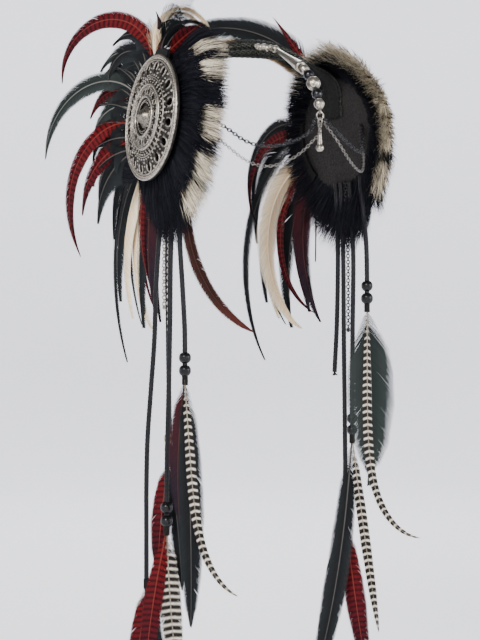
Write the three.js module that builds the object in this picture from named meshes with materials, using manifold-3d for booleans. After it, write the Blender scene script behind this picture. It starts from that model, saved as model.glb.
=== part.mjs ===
// Feathered headdress: a woven band over the crown joins two round fur pads.
// Each pad carries a pierced medallion, three plumes of feathers and a bundle of hanging laces.
// A string of beads runs from the crown to the forehead, with swags of chain to both pads.
// Millimetres. +Z is up, the wearer looks along -Y, and the wearer's right side is -X.
// The origin is the middle of the band's underside, where it sits on the crown.
import * as THREE from 'three';
import { mergeVertices } from 'three/addons/utils/BufferGeometryUtils.js';
import Module from 'manifold-3d';

const wasm = await Module();
wasm.setup();

// Fits
const gap = 0.3; // between pieces that touch
const drillGap = 0.35; // between a wire or lace and the bead that it passes through

// Head opening and pads
const padSpan = 150; // between the two pads' inner faces, at their middles
const padBack = 10; // pad middle behind the band's middle
const padDrop = 60; // pad middle below the band's middle
const padLeanUp = 4.5; // degrees that a pad's face looks up
const padLeanBack = 3.5; // degrees that a pad's face looks back
const padThick = 14.5;
const hideRadius = 52; // flat hide behind the fur
const furRadius = 75; // to the tips of the fur
const furNotch = 61; // to the notches between two locks
const rearFurRadius = 60; // shorter fur under the fan of feathers
const wispLength = 14; // extra length of the fur at the bottom
const lockCount = 18;
const lockRidge = 1.15; // height of a lock's middle against the notches beside it

// Band
const bandWidth = 23;
const bandThick = 2;
const bandTilt = 48; // degrees that the band's face is turned forward at the crown
const bandRise = 35; // crown above the start of the band's straight end
const bandEnd = 14; // straight stretch that lies against the pad

// Medallion and stud
const medallionRadius = 49;
const medallionThick = 1.5;
const rimHeight = 3;
const rimWidth = 3.6;
const innerRingRadius = 25;
const innerRingWidth = 3.2;
const recessRadius = 15;
const recessThick = 0.9;
const petalCount = 16;
const petalRadius = 38.5; // middle of the ring of tear-shaped openings
const petalLength = 9.5;
const petalWidth = 5.4;
const eyeCount = 12;
const eyeRadius = 19.3; // middle of the ring of round openings
const eyeDiameter = 4;
const studRadius = 9;
const studHeight = 6.5;

// Plumes
const stripThick = 2.4; // strip that a plume's quills are bound to
const outerStripRadius = 50;
const innerStripRadius = 46.5;
const stripWidth = 8;
const stripMargin = 5; // degrees of strip past a plume's last quill
const featherThick = 1.6;

// Forehead string
const wireRadius = 0.5;
const wireHeadRadius = 1;
const stringStart = { y: -14.3, z: 0.6 };
const stringSlope = 27; // degrees below level, along the cone
const stringTurn = 52; // degrees more that the string turns along its beads
const capDiameter = 6;
const coneLength = 40;
const coneSmallRadius = 1.7;
const coneLargeRadius = 4.4;
const smallBead = 8.2;
const largeBead = 11;
const upperRingRadius = 3;
const lowerRingRadius = 2.6;
const eyeLoopRadius = 1.4;
const dropLoopRadius = 1.5;
const dropLength = 18.5;
const dropRadius = 3.1;

// Crown ornament
const ornamentLength = 17;
const ornamentWidth = 9;
const ornamentThick = 2;
const ornamentLobes = 6;
const lobeDepth = 0.14; // share of the ornament's size by which a lobe swells or shrinks it

// Chains, laces and what hangs on them
const upperSwagRadius = 1.6;
const lowerSwagRadius = 1.25;
const hangingChainRadius = 1.5;
const laceRadius = 2;
const quillLength = 7;

// Routes of the chains and laces, chosen by hand, for the side where they hang.
// A swag's route starts at its jump ring. Its x is a share of the way from the middle to a pad.
const swagLeave = 35; // degrees below level at which an upper swag leaves its ring
const swagRoutes = [
  { name: 'upper', radius: upperSwagRadius, points: [
    [0.1533, -89.4, -73.4], [0.2733, -87.8, -79.6], [0.4093, -83.2, -84.1],
    [0.5387, -76.4, -85.6], [0.6347, -69.6, -84.4], [0.7173, -61.6, -80.3], [0.8, -51.4, -72.4],
    [0.8867, -41.5, -65], [0.968, -33, -60], [1.0053, -27, -58]] },
  { name: 'lower', radius: lowerSwagRadius, points: [
    [0.08, -91.6, -75.6], [0.16, -91.2, -82], [0.276, -88.4, -90.8], [0.4107, -83.2, -97.5],
    [0.532, -76.8, -100.4], [0.6347, -69.8, -99.3], [0.72, -62, -94.6], [0.8067, -52.6, -86],
    [0.8933, -42.6, -77], [0.9867, -33, -69.5], [1.0187, -28, -66.5]] },
];
// back and down: where a strand leaves the hide, from the pad's middle. x: out from the pad's middle.
const rightStrands = [
  { name: 'front', back: -19, down: 42, points: [
    [5.3, -9.5, -150], [5.3, -14, -190], [5.3, -17.5, -222], [5.3, -18, -240], [5.3, -18, -256]] },
  { name: 'middle', back: 3.5, down: 42, points: [
    [4, 13.5, -160], [3.4, 13.5, -220], [3, 13, -270], [2.8, 12.5, -300], [2.8, 12.5, -318]] },
  { name: 'long', back: -4.8, down: 42, points: [
    [5.5, 4.8, -160], [7, 3.6, -220], [8.5, 3.2, -280], [9.3, 4, -325], [9.3, 4.5, -352],
    [9.3, 4.5, -373]] },
  { name: 'rear', back: 14.5, down: 42, points: [
    [4.2, 27, -150], [5, 31, -190], [5, 34, -231], [5, 40, -270], [5, 46, -310],
    [5, 48, -350], [5, 48, -385], [5, 48, -421]] },
];
const leftStrands = [
  { name: 'front', back: -33, down: 38, points: [
    [6.5, -25.5, -150], [6.5, -27, -180], [6.5, -27, -200]] },
  { name: 'middle', back: -18.5, down: 42, points: [
    [5.5, -8.6, -160], [5.2, -8.2, -220], [4.8, -8, -270], [4.8, -8, -290], [4.8, -8, -307]] },
  { name: 'long', back: -6.5, down: 42, points: [
    [4.2, 4.2, -160], [5, 4.6, -220], [6, 4.7, -290], [6.5, 4.7, -330], [6.5, 4.7, -350],
    [6.5, 4.7, -376]] },
  { name: 'frayed', back: 0.5, down: 42, points: [[3.6, 11.2, -160], [3.2, 12, -215], [2.8, 15, -258]] },
];
const rightChains = [
  { name: 'rear', back: 9.2, down: 42, points: [[4, 19.4, -160], [4, 19.2, -205]] },
  { name: 'front', back: -0.7, down: 42, points: [[4.9, 9.2, -160], [5, 9, -222]] },
];
const leftChains = [
  { name: 'front', back: -11.6, down: 42, points: [[4.9, -1.8, -160], [5.2, -1.8, -223]] },
];
const strandSeat = 14; // length of a strand that lies against the hide

// Beads at the lower end of each lace, counted up from the lace's end.
const laceBeads = [
  { side: 'right', lace: 'front', lower: 9.5, upper: 9.5, metal: false },
  { side: 'right', lace: 'middle', lower: 8, upper: 9, metal: true },
  { side: 'right', lace: 'long', lower: 10, upper: 10, metal: false },
  { side: 'left', lace: 'front', lower: 10, upper: 9.5, metal: false },
  { side: 'left', lace: 'middle', lower: 9, upper: 9, metal: false },
  { side: 'left', lace: 'long', lower: 9, upper: 9, metal: true },
];

// Feathers. angle: place round the pad, 0 to the back and 90 up. out: degrees that the
// feather's plane opens away from the head. start, turn: heading at the quill and its change
// to the tip, 0 to the back and 90 up. ease: above 1 turns late, below 1 early.
const fanFeathers = [
  { angle: 70, out: 38, start: 100, turn: -195, ease: 0.81, length: 130, width: 15 },
  { angle: 56, out: 24, start: 112, turn: -205, ease: 0.7, length: 64, width: 20 },
  { angle: 28, out: 38, start: 69, turn: -157, ease: 0.6, length: 122, width: 17 },
  { angle: 18, out: 22, start: 30, turn: -142, ease: 1.1, length: 54, width: 22 },
  { angle: 2, out: 34, start: 17, turn: -136, ease: 0.65, length: 142, width: 14 },
  { angle: -20, out: 18, start: -7, turn: -94, ease: 1.1, length: 66, width: 20 },
];
const napeFeathers = [
  { angle: 10, out: -5, start: 26, turn: -158, ease: 1, length: 142, width: 13 },
  { angle: 0, out: -7, start: 17, turn: -125, ease: 1.1, length: 114, width: 12 },
  { angle: -9, out: -4, start: -10, turn: -122, ease: 0.8, length: 232, width: 12 },
  { angle: -20, out: -6, start: 4, turn: -138, ease: 0.65, length: 178, width: 12 },
  { angle: -29, out: -8, start: -4, turn: -150, ease: 0.7, length: 184, width: 26 },
  { angle: -38, out: -10, start: -20, turn: -140, ease: 0.9, length: 156, width: 11 },
  { angle: -46, out: -12, start: -62, turn: -62, ease: 0.9, length: 130, width: 14 },
];
const crestFeathers = [
  { angle: 84, out: -72, start: 110, turn: -194, ease: 1.15, length: 102, width: 22 },
  { angle: 95, out: -80, start: 108, turn: -140, ease: 1.3, length: 56, width: 24 },
  { angle: 106, out: -82, start: 112, turn: -160, ease: 1.7, length: 48, width: 16 },
];
const farCrestFeathers = [
  { angle: 66, out: -72, start: 58, turn: -14, ease: 1, length: 72, width: 11 },
  { angle: 58, out: -72, start: 72, turn: -105, ease: 0.71, length: 150, width: 20 },
  { angle: 50, out: -72, start: 62, turn: -100, ease: 0.8, length: 112, width: 14 },
];
const cheekFeather = { angle: -128, out: 215, start: -96, turn: 72, ease: 1.4, length: 150, width: 13 };

// Feathers that hang from a lace. swing: heading away from straight down at the quill,
// positive towards the wearer's left; curl: its change to the tip; facing: blade's turn about Z.
const dropFeathers = [
  { side: 'right', lace: 'front', feathers: [
    { swing: -7, curl: 12, length: 110, width: 16, facing: 24 },
    { swing: 3, curl: -4, length: 190, width: 22, facing: 30 },
    { swing: 10, curl: 22, length: 176, width: 8, facing: 36 }] },
  { side: 'right', lace: 'middle', feathers: [
    { swing: -9, curl: 8, length: 92, width: 17, facing: 26 },
    { swing: 8, curl: -6, length: 104, width: 15, facing: 34 }] },
  { side: 'right', lace: 'long', feathers: [
    { swing: 2, curl: 6, length: 122, width: 18, facing: 30 },
    { swing: -12, curl: 10, length: 128, width: 16, facing: 24 }] },
  { side: 'right', lace: 'rear', feathers: [
    { swing: -6, curl: -6, length: 100, width: 18, facing: 26 },
    { swing: 8, curl: 4, length: 90, width: 16, facing: 34 }] },
  { side: 'left', lace: 'front', feathers: [
    { swing: 4, curl: -8, length: 145, width: 40, facing: 30 },
    { swing: -2, curl: 32, length: 200, width: 8, facing: 24 }] },
  { side: 'left', lace: 'middle', feathers: [
    { swing: -4, curl: -14, length: 230, width: 20, facing: 26 },
    { swing: 7, curl: 2, length: 160, width: 9, facing: 34 }] },
  { side: 'left', lace: 'long', feathers: [
    { swing: -8, curl: -6, length: 118, width: 20, facing: 26 },
    { swing: 7, curl: 3, length: 128, width: 18, facing: 34 }] },
];

// A blade's outline: share of the length, share of the width.
const bladeOutline = [
  { along: 0, across: 0.1 },
  { along: 0.08, across: 0.16 },
  { along: 0.26, across: 0.9 },
  { along: 0.56, across: 1 },
  { along: 0.86, across: 0.56 },
  { along: 1, across: 0.05 },
];

// Surfaces
const finish = (color, roughness, metalness) => (
  new THREE.MeshStandardMaterial({ color, roughness, metalness }));
const surfaces = {
  band: () => finish(0x2e2e30, 0.6, 0.4),
  silver: () => finish(0xb9b4aa, 0.32, 1),
  darkMetal: () => finish(0x3a3a3c, 0.35, 1),
  fur: () => finish(0x16161a, 0.95, 0),
  blackFeather: () => finish(0x15171c, 0.5, 0),
  redFeather: () => finish(0x6e1414, 0.6, 0),
  leather: () => finish(0x17171a, 0.55, 0),
  darkBead: () => finish(0x1f1f22, 0.25, 0.2),
  gold: () => finish(0xc2a06a, 0.25, 1),
};

const radians = THREE.MathUtils.degToRad;
const vector = (x, y, z) => new THREE.Vector3(x, y, z);
const group = new THREE.Group();
group.name = 'feathered_headdress';

// Helpers that make and join closed solids

function signedVolume(positions, faces) {
  const corner = (i) => vector(...positions.slice(3 * i, 3 * i + 3));
  let total = 0;
  for (let f = 0; f < faces.length; f += 3) {
    total += corner(faces[f]).dot(corner(faces[f + 1]).cross(corner(faces[f + 2])));
  }
  return total;
}

// A closed solid through rings of points, each ring with the same count, closed at both ends.
function loft(rings) {
  const count = rings[0].length;
  const positions = rings.flat().flatMap((p) => [p.x, p.y, p.z]);
  const faces = [];
  for (let r = 0; r + 1 < rings.length; r += 1) {
    for (let i = 0; i < count; i += 1) {
      const a = r * count + i;
      const b = r * count + ((i + 1) % count);
      faces.push(a, b, b + count, a, b + count, a + count);
    }
  }
  const last = (rings.length - 1) * count;
  for (let i = 1; i + 1 < count; i += 1) {
    faces.push(0, i + 1, i, last, last + i, last + i + 1);
  }
  if (signedVolume(positions, faces) < 0) faces.reverse();
  const geometry = new THREE.BufferGeometry();
  geometry.setAttribute('position', new THREE.Float32BufferAttribute(positions, 3));
  geometry.setIndex(faces);
  return geometry;
}

function toSolid(geometry) {
  const bare = geometry.clone();
  bare.deleteAttribute('normal');
  bare.deleteAttribute('uv');
  const merged = mergeVertices(bare, 1e-4);
  const mesh = new wasm.Mesh({
    numProp: 3,
    vertProperties: new Float32Array(merged.attributes.position.array),
    triVerts: new Uint32Array(merged.index.array),
  });
  return new wasm.Manifold(mesh);
}

function toGeometry(solid) {
  const mesh = solid.getMesh();
  const geometry = new THREE.BufferGeometry();
  geometry.setAttribute('position', new THREE.Float32BufferAttribute(mesh.vertProperties, 3));
  geometry.setIndex(Array.from(mesh.triVerts));
  return geometry;
}

const join = (geometries) => toGeometry(geometries.map(toSolid).reduce((all, one) => all.add(one)));

function addMesh(name, geometry, material) {
  geometry.computeVertexNormals();
  const mesh = new THREE.Mesh(geometry, material);
  mesh.name = name;
  group.add(mesh);
}

// The same solid on the other side of the middle plane.
function mirrored(geometry) {
  const copy = geometry.index ? geometry.clone() : mergeVertices(geometry.clone());
  copy.scale(-1, 1, 1);
  copy.setIndex(Array.from(copy.index.array).reverse());
  return copy;
}

function roundShape(radius, sides) {
  const corners = [];
  for (let i = 0; i < sides; i += 1) {
    const a = (2 * Math.PI * i) / sides;
    corners.push(new THREE.Vector2(radius * Math.cos(a), radius * Math.sin(a)));
  }
  return new THREE.Shape(corners);
}

// A round bar along a smooth curve, with a step every three diameters.
function bar(points, radius, sides = 8) {
  const path = new THREE.CatmullRomCurve3(points.map((p) => vector(...p)));
  const steps = Math.max(3, Math.round(path.getLength() / (6 * radius)));
  const shape = roundShape(radius, sides);
  return new THREE.ExtrudeGeometry(shape, { steps, extrudePath: path, bevelEnabled: false });
}

// Turned solids have their axis along Z and are then stood along a direction.
function turned(profile, sides) {
  const points = profile.map(([r, z]) => new THREE.Vector2(r, z));
  return new THREE.LatheGeometry(points, sides).rotateX(Math.PI / 2);
}

function standAlong(geometry, direction, place) {
  const turn = new THREE.Quaternion().setFromUnitVectors(vector(0, 0, 1), direction.clone().normalize());
  return geometry.applyQuaternion(turn).translate(place.x, place.y, place.z);
}

function drilledBead(diameter, bore, sides = 10) {
  const r = diameter / 2;
  const end = Math.sqrt(r * r - bore * bore);
  const profile = [[bore, -end]];
  for (const latitude of [-38, 0, 38]) {
    profile.push([r * Math.cos(radians(latitude)), r * Math.sin(radians(latitude))]);
  }
  profile.push([bore, end], [bore, -end]);
  return turned(profile, sides);
}

// Pad frame, on the wearer's left side: X out of the pad's face, Y back, Z up.
const padOut = vector(
  Math.cos(radians(padLeanUp)) * Math.cos(radians(padLeanBack)),
  Math.cos(radians(padLeanUp)) * Math.sin(radians(padLeanBack)),
  Math.sin(radians(padLeanUp)),
);
const padUp = vector(0, 0, 1).addScaledVector(padOut, -padOut.z).normalize();
const padRear = padUp.clone().cross(padOut);
const padPlace = new THREE.Matrix4().makeBasis(padOut, padRear, padUp);
padPlace.setPosition(padSpan / 2, padBack, -padDrop);
const onPad = (x, y, z) => vector(x, y, z).applyMatrix4(padPlace);
const padSides = [
  { name: 'left', place: (geometry) => geometry },
  { name: 'right', place: mirrored },
];

// A swag's points, whose x is written as a share of the way from the middle to a pad.
const swagPoints = (points) => points.map(([share, y, z]) => [(share * padSpan) / 2, y, z]);

// A hanging strand's points, whose x is written as a distance out from the pad's middle.
const strandPoints = (points, sign) => points.map(([out, y, z]) => [sign * (padSpan / 2 + out), y, z]);

// Directions across the band and out of its face, at the crown.
const crownWidth = vector(0, Math.cos(radians(bandTilt)), Math.sin(radians(bandTilt)));
const crownNormal = vector(0, -Math.sin(radians(bandTilt)), Math.cos(radians(bandTilt)));

// Band: half an ellipse over the crown, then a straight end against each pad.
function bandGeometry() {
  const seat = onPad(-gap - bandThick / 2, 0, padDrop - bandRise);
  const end = onPad(-gap - bandThick / 2, 0, padDrop - bandRise - bandEnd);
  const stations = [];
  const steps = 11;
  for (let i = 0; i <= steps; i += 1) {
    const t = (i / steps) * (Math.PI / 2);
    const along = vector(seat.x * Math.cos(t), 0, seat.z * Math.sin(t)).normalize();
    const tilt = radians(bandTilt) * Math.cos(t);
    const width = vector(0, Math.cos(tilt), Math.sin(tilt)).lerp(padRear, Math.sin(t) ** 2);
    width.addScaledVector(along, -width.dot(along)).normalize();
    const middle = vector(seat.x * Math.sin(t), seat.y * (1 - Math.cos(t)), seat.z * (1 - Math.cos(t)));
    middle.addScaledVector(along.clone().cross(width), (bandThick / 2) * Math.cos(t));
    stations.push({ middle, width, normal: along.clone().cross(width).normalize() });
  }
  stations.pop();
  stations.push({ middle: seat, width: padRear, normal: padOut });
  stations.push({ middle: end, width: padRear, normal: padOut });
  const ring = ({ middle, width, normal }, mirror) => [[-1, -1], [1, -1], [1, 1], [-1, 1]].map(([w, n]) => {
    const p = middle.clone().addScaledVector(width, (w * bandWidth) / 2);
    p.addScaledVector(normal, (n * bandThick) / 2);
    if (mirror) p.x = -p.x;
    return p;
  });
  const rings = stations.slice(1).reverse().map((s) => ring(s, true));
  return loft(rings.concat(stations.map((s) => ring(s, false))));
}

// Fur pad: a dished disc whose rim breaks into locks of fur. A ring's reach is hideReach at the
// hide's edge and 1 at the tips of the fur, and inner and outer are shares of the pad's thickness.
const hideReach = 0.7;
const padRings = [
  { reach: hideReach, inner: 0, outer: 1 },
  { reach: 0.86, inner: 0.18, outer: 0.74 },
  { reach: 1, inner: 0.4, outer: 0.46 },
];

function lockRadius(angle, isTip) {
  const toRear = Math.max(0, Math.cos(angle)) ** 0.5;
  const toFoot = Math.max(0, -Math.sin(angle)) ** 3;
  const tip = furRadius + (rearFurRadius - furRadius) * toRear + wispLength * toFoot;
  return isTip ? tip : Math.min(tip, furNotch) - (furRadius - furNotch) * 0.2;
}

function padGeometry() {
  const count = 2 * lockCount;
  const positions = [[0, 0, 0], [padThick, 0, 0]];
  const faces = [];
  for (let i = 0; i < count; i += 1) {
    const angle = (2 * Math.PI * i) / count;
    const isTip = i % 2 === 0;
    const rim = lockRadius(angle, isTip);
    for (const { reach, inner, outer } of padRings) {
      const r = hideRadius + ((rim - hideRadius) * (reach - hideReach)) / (1 - hideReach);
      const ridge = reach > hideReach && isTip ? lockRidge : 1;
      positions.push([inner * padThick, r * Math.cos(angle), r * Math.sin(angle)]);
      positions.push([outer * padThick * ridge, r * Math.cos(angle), r * Math.sin(angle)]);
    }
  }
  const layers = padRings.length;
  const at = (i, layer, outer) => 2 + 2 * ((i % count) * layers + layer) + outer;
  for (let i = 0; i < count; i += 1) {
    faces.push(0, at(i + 1, 0, 0), at(i, 0, 0), 1, at(i, 0, 1), at(i + 1, 0, 1));
    for (let k = 0; k + 1 < layers; k += 1) {
      for (const [side, other] of [[1, 0], [0, 1]]) {
        const corners = [at(i, k, side), at(i, k + 1, side), at(i + 1, k + 1, side), at(i + 1, k, side)];
        faces.push(corners[0], corners[1 + other], corners[2 - other]);
        faces.push(corners[0], corners[2 + other], corners[3 - other]);
      }
    }
    const k = layers - 1;
    faces.push(at(i, k, 0), at(i + 1, k, 1), at(i, k, 1), at(i, k, 0), at(i + 1, k, 0), at(i + 1, k, 1));
  }
  const flat = positions.flat();
  if (signedVolume(flat, faces) < 0) faces.reverse();
  const geometry = new THREE.BufferGeometry();
  geometry.setAttribute('position', new THREE.Float32BufferAttribute(flat, 3));
  geometry.setIndex(faces);
  return geometry.applyMatrix4(padPlace);
}

// Medallion: a turned disc with a raised rim and inner ring, pierced in two rings.
const medallionSeat = padThick + gap + stripThick + gap;

function medallionGeometry() {
  const innerEdge = innerRingRadius - innerRingWidth;
  const profile = [
    [0, 0], [medallionRadius, 0], [medallionRadius - rimWidth * 0.4, rimHeight],
    [medallionRadius - rimWidth, medallionThick], [innerRingRadius + innerRingWidth, medallionThick],
    [innerRingRadius, rimHeight * 0.85], [innerEdge, medallionThick], [recessRadius, medallionThick],
    [recessRadius - 1, recessThick], [0, recessThick],
  ];
  const tear = new THREE.Shape([
    [0, -petalLength / 2], [petalWidth / 2, petalLength * 0.12], [petalWidth * 0.3, petalLength / 2],
    [-petalWidth * 0.3, petalLength / 2], [-petalWidth / 2, petalLength * 0.12],
  ].map(([x, y]) => new THREE.Vector2(x, y)));
  const through = { depth: 4 * rimHeight, bevelEnabled: false };
  let solid = toSolid(turned(profile, 24));
  const cut = (shape, count, radius, offset) => {
    for (let i = 0; i < count; i += 1) {
      const tool = new THREE.ExtrudeGeometry(shape, through).translate(0, radius, -2 * rimHeight);
      tool.rotateZ((2 * Math.PI * (i + offset)) / count);
      solid = solid.subtract(toSolid(tool));
    }
  };
  cut(tear, petalCount, petalRadius, 0.5);
  cut(roundShape(eyeDiameter / 2, 5), eyeCount, eyeRadius, 0);
  return toGeometry(solid).rotateY(Math.PI / 2).translate(medallionSeat, 0, 0).applyMatrix4(padPlace);
}

function studGeometry() {
  const seat = medallionSeat + recessThick + gap;
  const profile = [
    [0, 0], [studRadius, 0], [studRadius, studHeight * 0.25], [studRadius * 0.8, studHeight * 0.62],
    [studRadius * 0.42, studHeight * 0.93], [0, studHeight],
  ];
  return turned(profile, 12).rotateY(Math.PI / 2).translate(seat, 0, 0).applyMatrix4(padPlace);
}

// Feathers: a thin solid blade along a curve that stays in one upright plane.
function blade({ root, across, start, turn, ease, length, width, ribbon = false }) {
  const stations = 24;
  const step = length / stations;
  const heading = (share) => radians(start + turn * share ** ease);
  const place = root.clone();
  const marks = [];
  const along = (share) => {
    const a = heading(share);
    return across.clone().multiplyScalar(Math.cos(a)).add(vector(0, 0, Math.sin(a)));
  };
  for (let i = 0; i <= stations; i += 1) {
    marks.push({ place: place.clone(), along: along(i / stations) });
    place.addScaledVector(along((i + 0.5) / stations), step);
  }
  const normal = across.clone().cross(vector(0, 0, 1)).normalize();
  const rings = bladeOutline.map(({ along: share, across: wide }) => {
    const mark = marks[Math.round(share * stations)];
    const edge = normal.clone().cross(mark.along).normalize();
    const side = ribbon ? normal : edge;
    const face = ribbon ? edge : normal;
    const half = Math.max((wide * width) / 2, 0.6);
    return [[half, -0.4], [0, 0.6], [-half, -0.4]].map(([s, n]) => (
      mark.place.clone().addScaledVector(side, s).addScaledVector(face, n * featherThick)));
  });
  return loft(rings);
}

// A strip of ring on one face of the pad, which holds a plume's quills.
function stripGeometry(radius, from, to, seat) {
  const span = to - from;
  const shape = new THREE.Shape();
  shape.absarc(0, 0, radius + stripWidth / 2, radians(from), radians(to), false);
  shape.absarc(0, 0, radius - stripWidth / 2, radians(to), radians(from), true);
  const curveSegments = Math.ceil(span / 16);
  const solid = new THREE.ExtrudeGeometry(shape, { depth: stripThick, curveSegments, bevelEnabled: false });
  const basis = new THREE.Matrix4().makeBasis(vector(0, 1, 0), vector(0, 0, 1), vector(1, 0, 0));
  return solid.applyMatrix4(basis).translate(seat, 0, 0).applyMatrix4(padPlace);
}

function plume(feathers, radius, seat, ribbon = false) {
  const angles = feathers.map((f) => f.angle);
  const from = Math.min(...angles) - stripMargin;
  const to = Math.max(...angles) + stripMargin;
  const parts = [stripGeometry(radius, from, to, seat)];
  for (const feather of feathers) {
    const angle = radians(feather.angle);
    const root = onPad(seat + stripThick / 2, radius * Math.cos(angle), radius * Math.sin(angle));
    const across = vector(Math.sin(radians(feather.out)), Math.cos(radians(feather.out)), 0);
    parts.push(blade({ ...feather, root, across, ribbon }));
  }
  return join(parts);
}

// Forehead string: a wire down through a cap, a cone and five beads.
const stringDirection = (turnShare) => {
  const a = radians(stringSlope + stringTurn * turnShare);
  return vector(0, -Math.cos(a), -Math.sin(a));
};
const beadRun = 4 * smallBead + largeBead + 4 * gap;

// The place at a distance along the string: straight to the cone's end, then a round bend.
function stringPlace(distance) {
  const straight = stringPieces.coneEnd;
  const start = vector(0, stringStart.y, stringStart.z);
  const place = start.addScaledVector(stringDirection(0), Math.min(distance, straight));
  const rest = Math.max(0, distance - straight);
  const steps = 40;
  for (let i = 0; i < steps; i += 1) {
    const share = Math.min(1, ((i + 0.5) / steps) * (rest / beadRun));
    place.addScaledVector(stringDirection(share), rest / steps);
  }
  return place;
}

const stringPieces = {
  cap: 2 * gap + 1 + capDiameter / 2,
  coneStart: 3 * gap + 1 + capDiameter,
};
stringPieces.coneEnd = stringPieces.coneStart + coneLength;
const stringEnd = stringPieces.coneEnd + beadRun + 2 * gap;

function stringBeads() {
  const sizes = [smallBead, smallBead, largeBead, smallBead, smallBead];
  let edge = stringPieces.coneEnd + gap;
  return sizes.map((size) => {
    const distance = edge + size / 2;
    edge += size + gap;
    const place = stringPlace(distance);
    const direction = stringPlace(distance + 0.5).sub(stringPlace(distance - 0.5));
    return { size, geometry: standAlong(drilledBead(size, wireRadius + drillGap), direction, place) };
  });
}

const ringAt = (radius, place, aboutX) => {
  const ring = new THREE.TorusGeometry(radius, wireRadius, 5, 10);
  if (aboutX) ring.rotateY(Math.PI / 2);
  else ring.rotateX(Math.PI / 2);
  return ring.translate(place.x, place.y, place.z);
};
const eyeCentre = stringPlace(stringEnd).add(vector(0, 0, -eyeLoopRadius - wireRadius / 2));
const upperRingCentre = eyeCentre.clone().add(vector(0, 0, -upperRingRadius));
const linked = (a, b) => a + b - 2 * wireRadius - gap;
const lowerRingCentre = upperRingCentre.clone().add(vector(0, 0, -linked(upperRingRadius, lowerRingRadius)));
const dropLoopCentre = lowerRingCentre.clone().add(vector(0, 0, -linked(lowerRingRadius, dropLoopRadius)));

const swagStarts = {
  upper: vector(Math.cos(radians(swagLeave)), 0, -Math.sin(radians(swagLeave)))
    .multiplyScalar(upperRingRadius + wireRadius + upperSwagRadius / 2 + gap).add(upperRingCentre),
  lower: vector(wireRadius + lowerSwagRadius + gap, -lowerRingRadius * 0.8, -lowerRingRadius * 0.45)
    .add(lowerRingCentre),
};

// The wire's head lies against the ornament's front edge.
const wireAnchor = vector(0, 0, 0)
  .addScaledVector(crownWidth, -(ornamentWidth / 2) * (1 - 2 * lobeDepth) - gap - wireHeadRadius)
  .addScaledVector(crownNormal, bandThick + gap + ornamentThick / 2);

function wireGeometry() {
  const run = [0, 0.02, 0.12, 0.3, 0.5, 0.62, 0.7, 0.78, 0.86, 0.94, 1].map((share) => (
    stringPlace(stringEnd * share)));
  const path = new THREE.CatmullRomCurve3([wireAnchor, ...run]);
  const section = roundShape(wireRadius, 6);
  const wire = new THREE.ExtrudeGeometry(section, { steps: 24, extrudePath: path, bevelEnabled: false });
  const head = new THREE.SphereGeometry(wireHeadRadius, 6, 4);
  head.translate(wireAnchor.x, wireAnchor.y, wireAnchor.z);
  return join([wire, head, ringAt(eyeLoopRadius, eyeCentre, true)]);
}

function coneGeometry() {
  const bore = wireRadius + drillGap;
  const profile = [
    [bore, 0], [coneSmallRadius, 0], [coneSmallRadius * 1.3, coneLength * 0.3],
    [coneLargeRadius, coneLength - 1.5], [coneLargeRadius * 0.8, coneLength], [bore, coneLength], [bore, 0],
  ];
  return standAlong(turned(profile, 12), stringDirection(0), stringPlace(stringPieces.coneStart));
}

function foreheadDropGeometry() {
  const top = dropLoopCentre.clone().add(vector(0, 0, -dropLoopRadius));
  const profile = [
    [0, 0.6], [0.9, 0.4], [1.2, -dropLength * 0.3], [1.9, -dropLength * 0.62],
    [dropRadius, -dropLength * 0.78], [dropRadius * 0.9, -dropLength * 0.93], [0, -dropLength],
  ].reverse();
  const body = turned(profile, 10).translate(top.x, top.y, top.z);
  return join([body, ringAt(dropLoopRadius, dropLoopCentre, false)]);
}

// Crown ornament: a lobed plate with bosses, on the band's face.
function ornamentGeometry() {
  const plate = new THREE.Shape();
  const corners = 4 * ornamentLobes;
  for (let i = 0; i < corners; i += 1) {
    const a = (2 * Math.PI * i) / corners;
    const swell = 1 - lobeDepth + lobeDepth * Math.cos(ornamentLobes * a);
    const corner = [(ornamentLength / 2) * swell * Math.cos(a), (ornamentWidth / 2) * swell * Math.sin(a)];
    if (i === 0) plate.moveTo(...corner);
    else plate.lineTo(...corner);
  }
  const parts = [new THREE.ExtrudeGeometry(plate, { depth: ornamentThick, bevelEnabled: false })];
  for (const [share, size] of [[-0.3, 1.7], [0, 2.4], [0.3, 1.7]]) {
    parts.push(new THREE.SphereGeometry(size, 6, 4).translate(share * ornamentLength, 0, size));
  }
  const basis = new THREE.Matrix4().makeBasis(vector(1, 0, 0), crownWidth, crownNormal);
  const lift = crownNormal.clone().multiplyScalar(bandThick + gap);
  return join(parts).applyMatrix4(basis).translate(lift.x, lift.y, lift.z);
}

// Strands: laces with their beads and feathers, and chains.
function laceEnd(points, sign) {
  return vector(...strandPoints(points.slice(-1), sign)[0]);
}

function dropGeometry(end, feathers) {
  const profile = [[0, -quillLength], [laceRadius * 0.9, -quillLength], [laceRadius, 0], [0, 0]];
  const quills = turned(profile, 8);
  const parts = [quills.translate(end.x, end.y, end.z - gap)];
  feathers.forEach(({ swing, curl, length, width, facing }, i) => {
    const across = vector(Math.cos(radians(facing)), -Math.sin(radians(facing)), 0);
    const front = vector(-Math.sin(radians(facing)), -Math.cos(radians(facing)), 0);
    const layer = (i - (feathers.length - 1) / 2) * 1.1 * featherThick;
    const root = end.clone().add(vector(0, 0, -gap - quillLength * 0.6)).addScaledVector(front, layer);
    parts.push(blade({ root, across, start: swing - 90, turn: curl, ease: 1.4, length, width }));
  });
  return join(parts);
}

function hangingBar({ back, down, points }, radius, sign) {
  const seats = [down, down + strandSeat].map((z) => onPad(-gap - radius, back, -z));
  return bar([...seats.map((p) => [sign * p.x, p.y, p.z]), ...strandPoints(points, sign)], radius);
}

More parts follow.
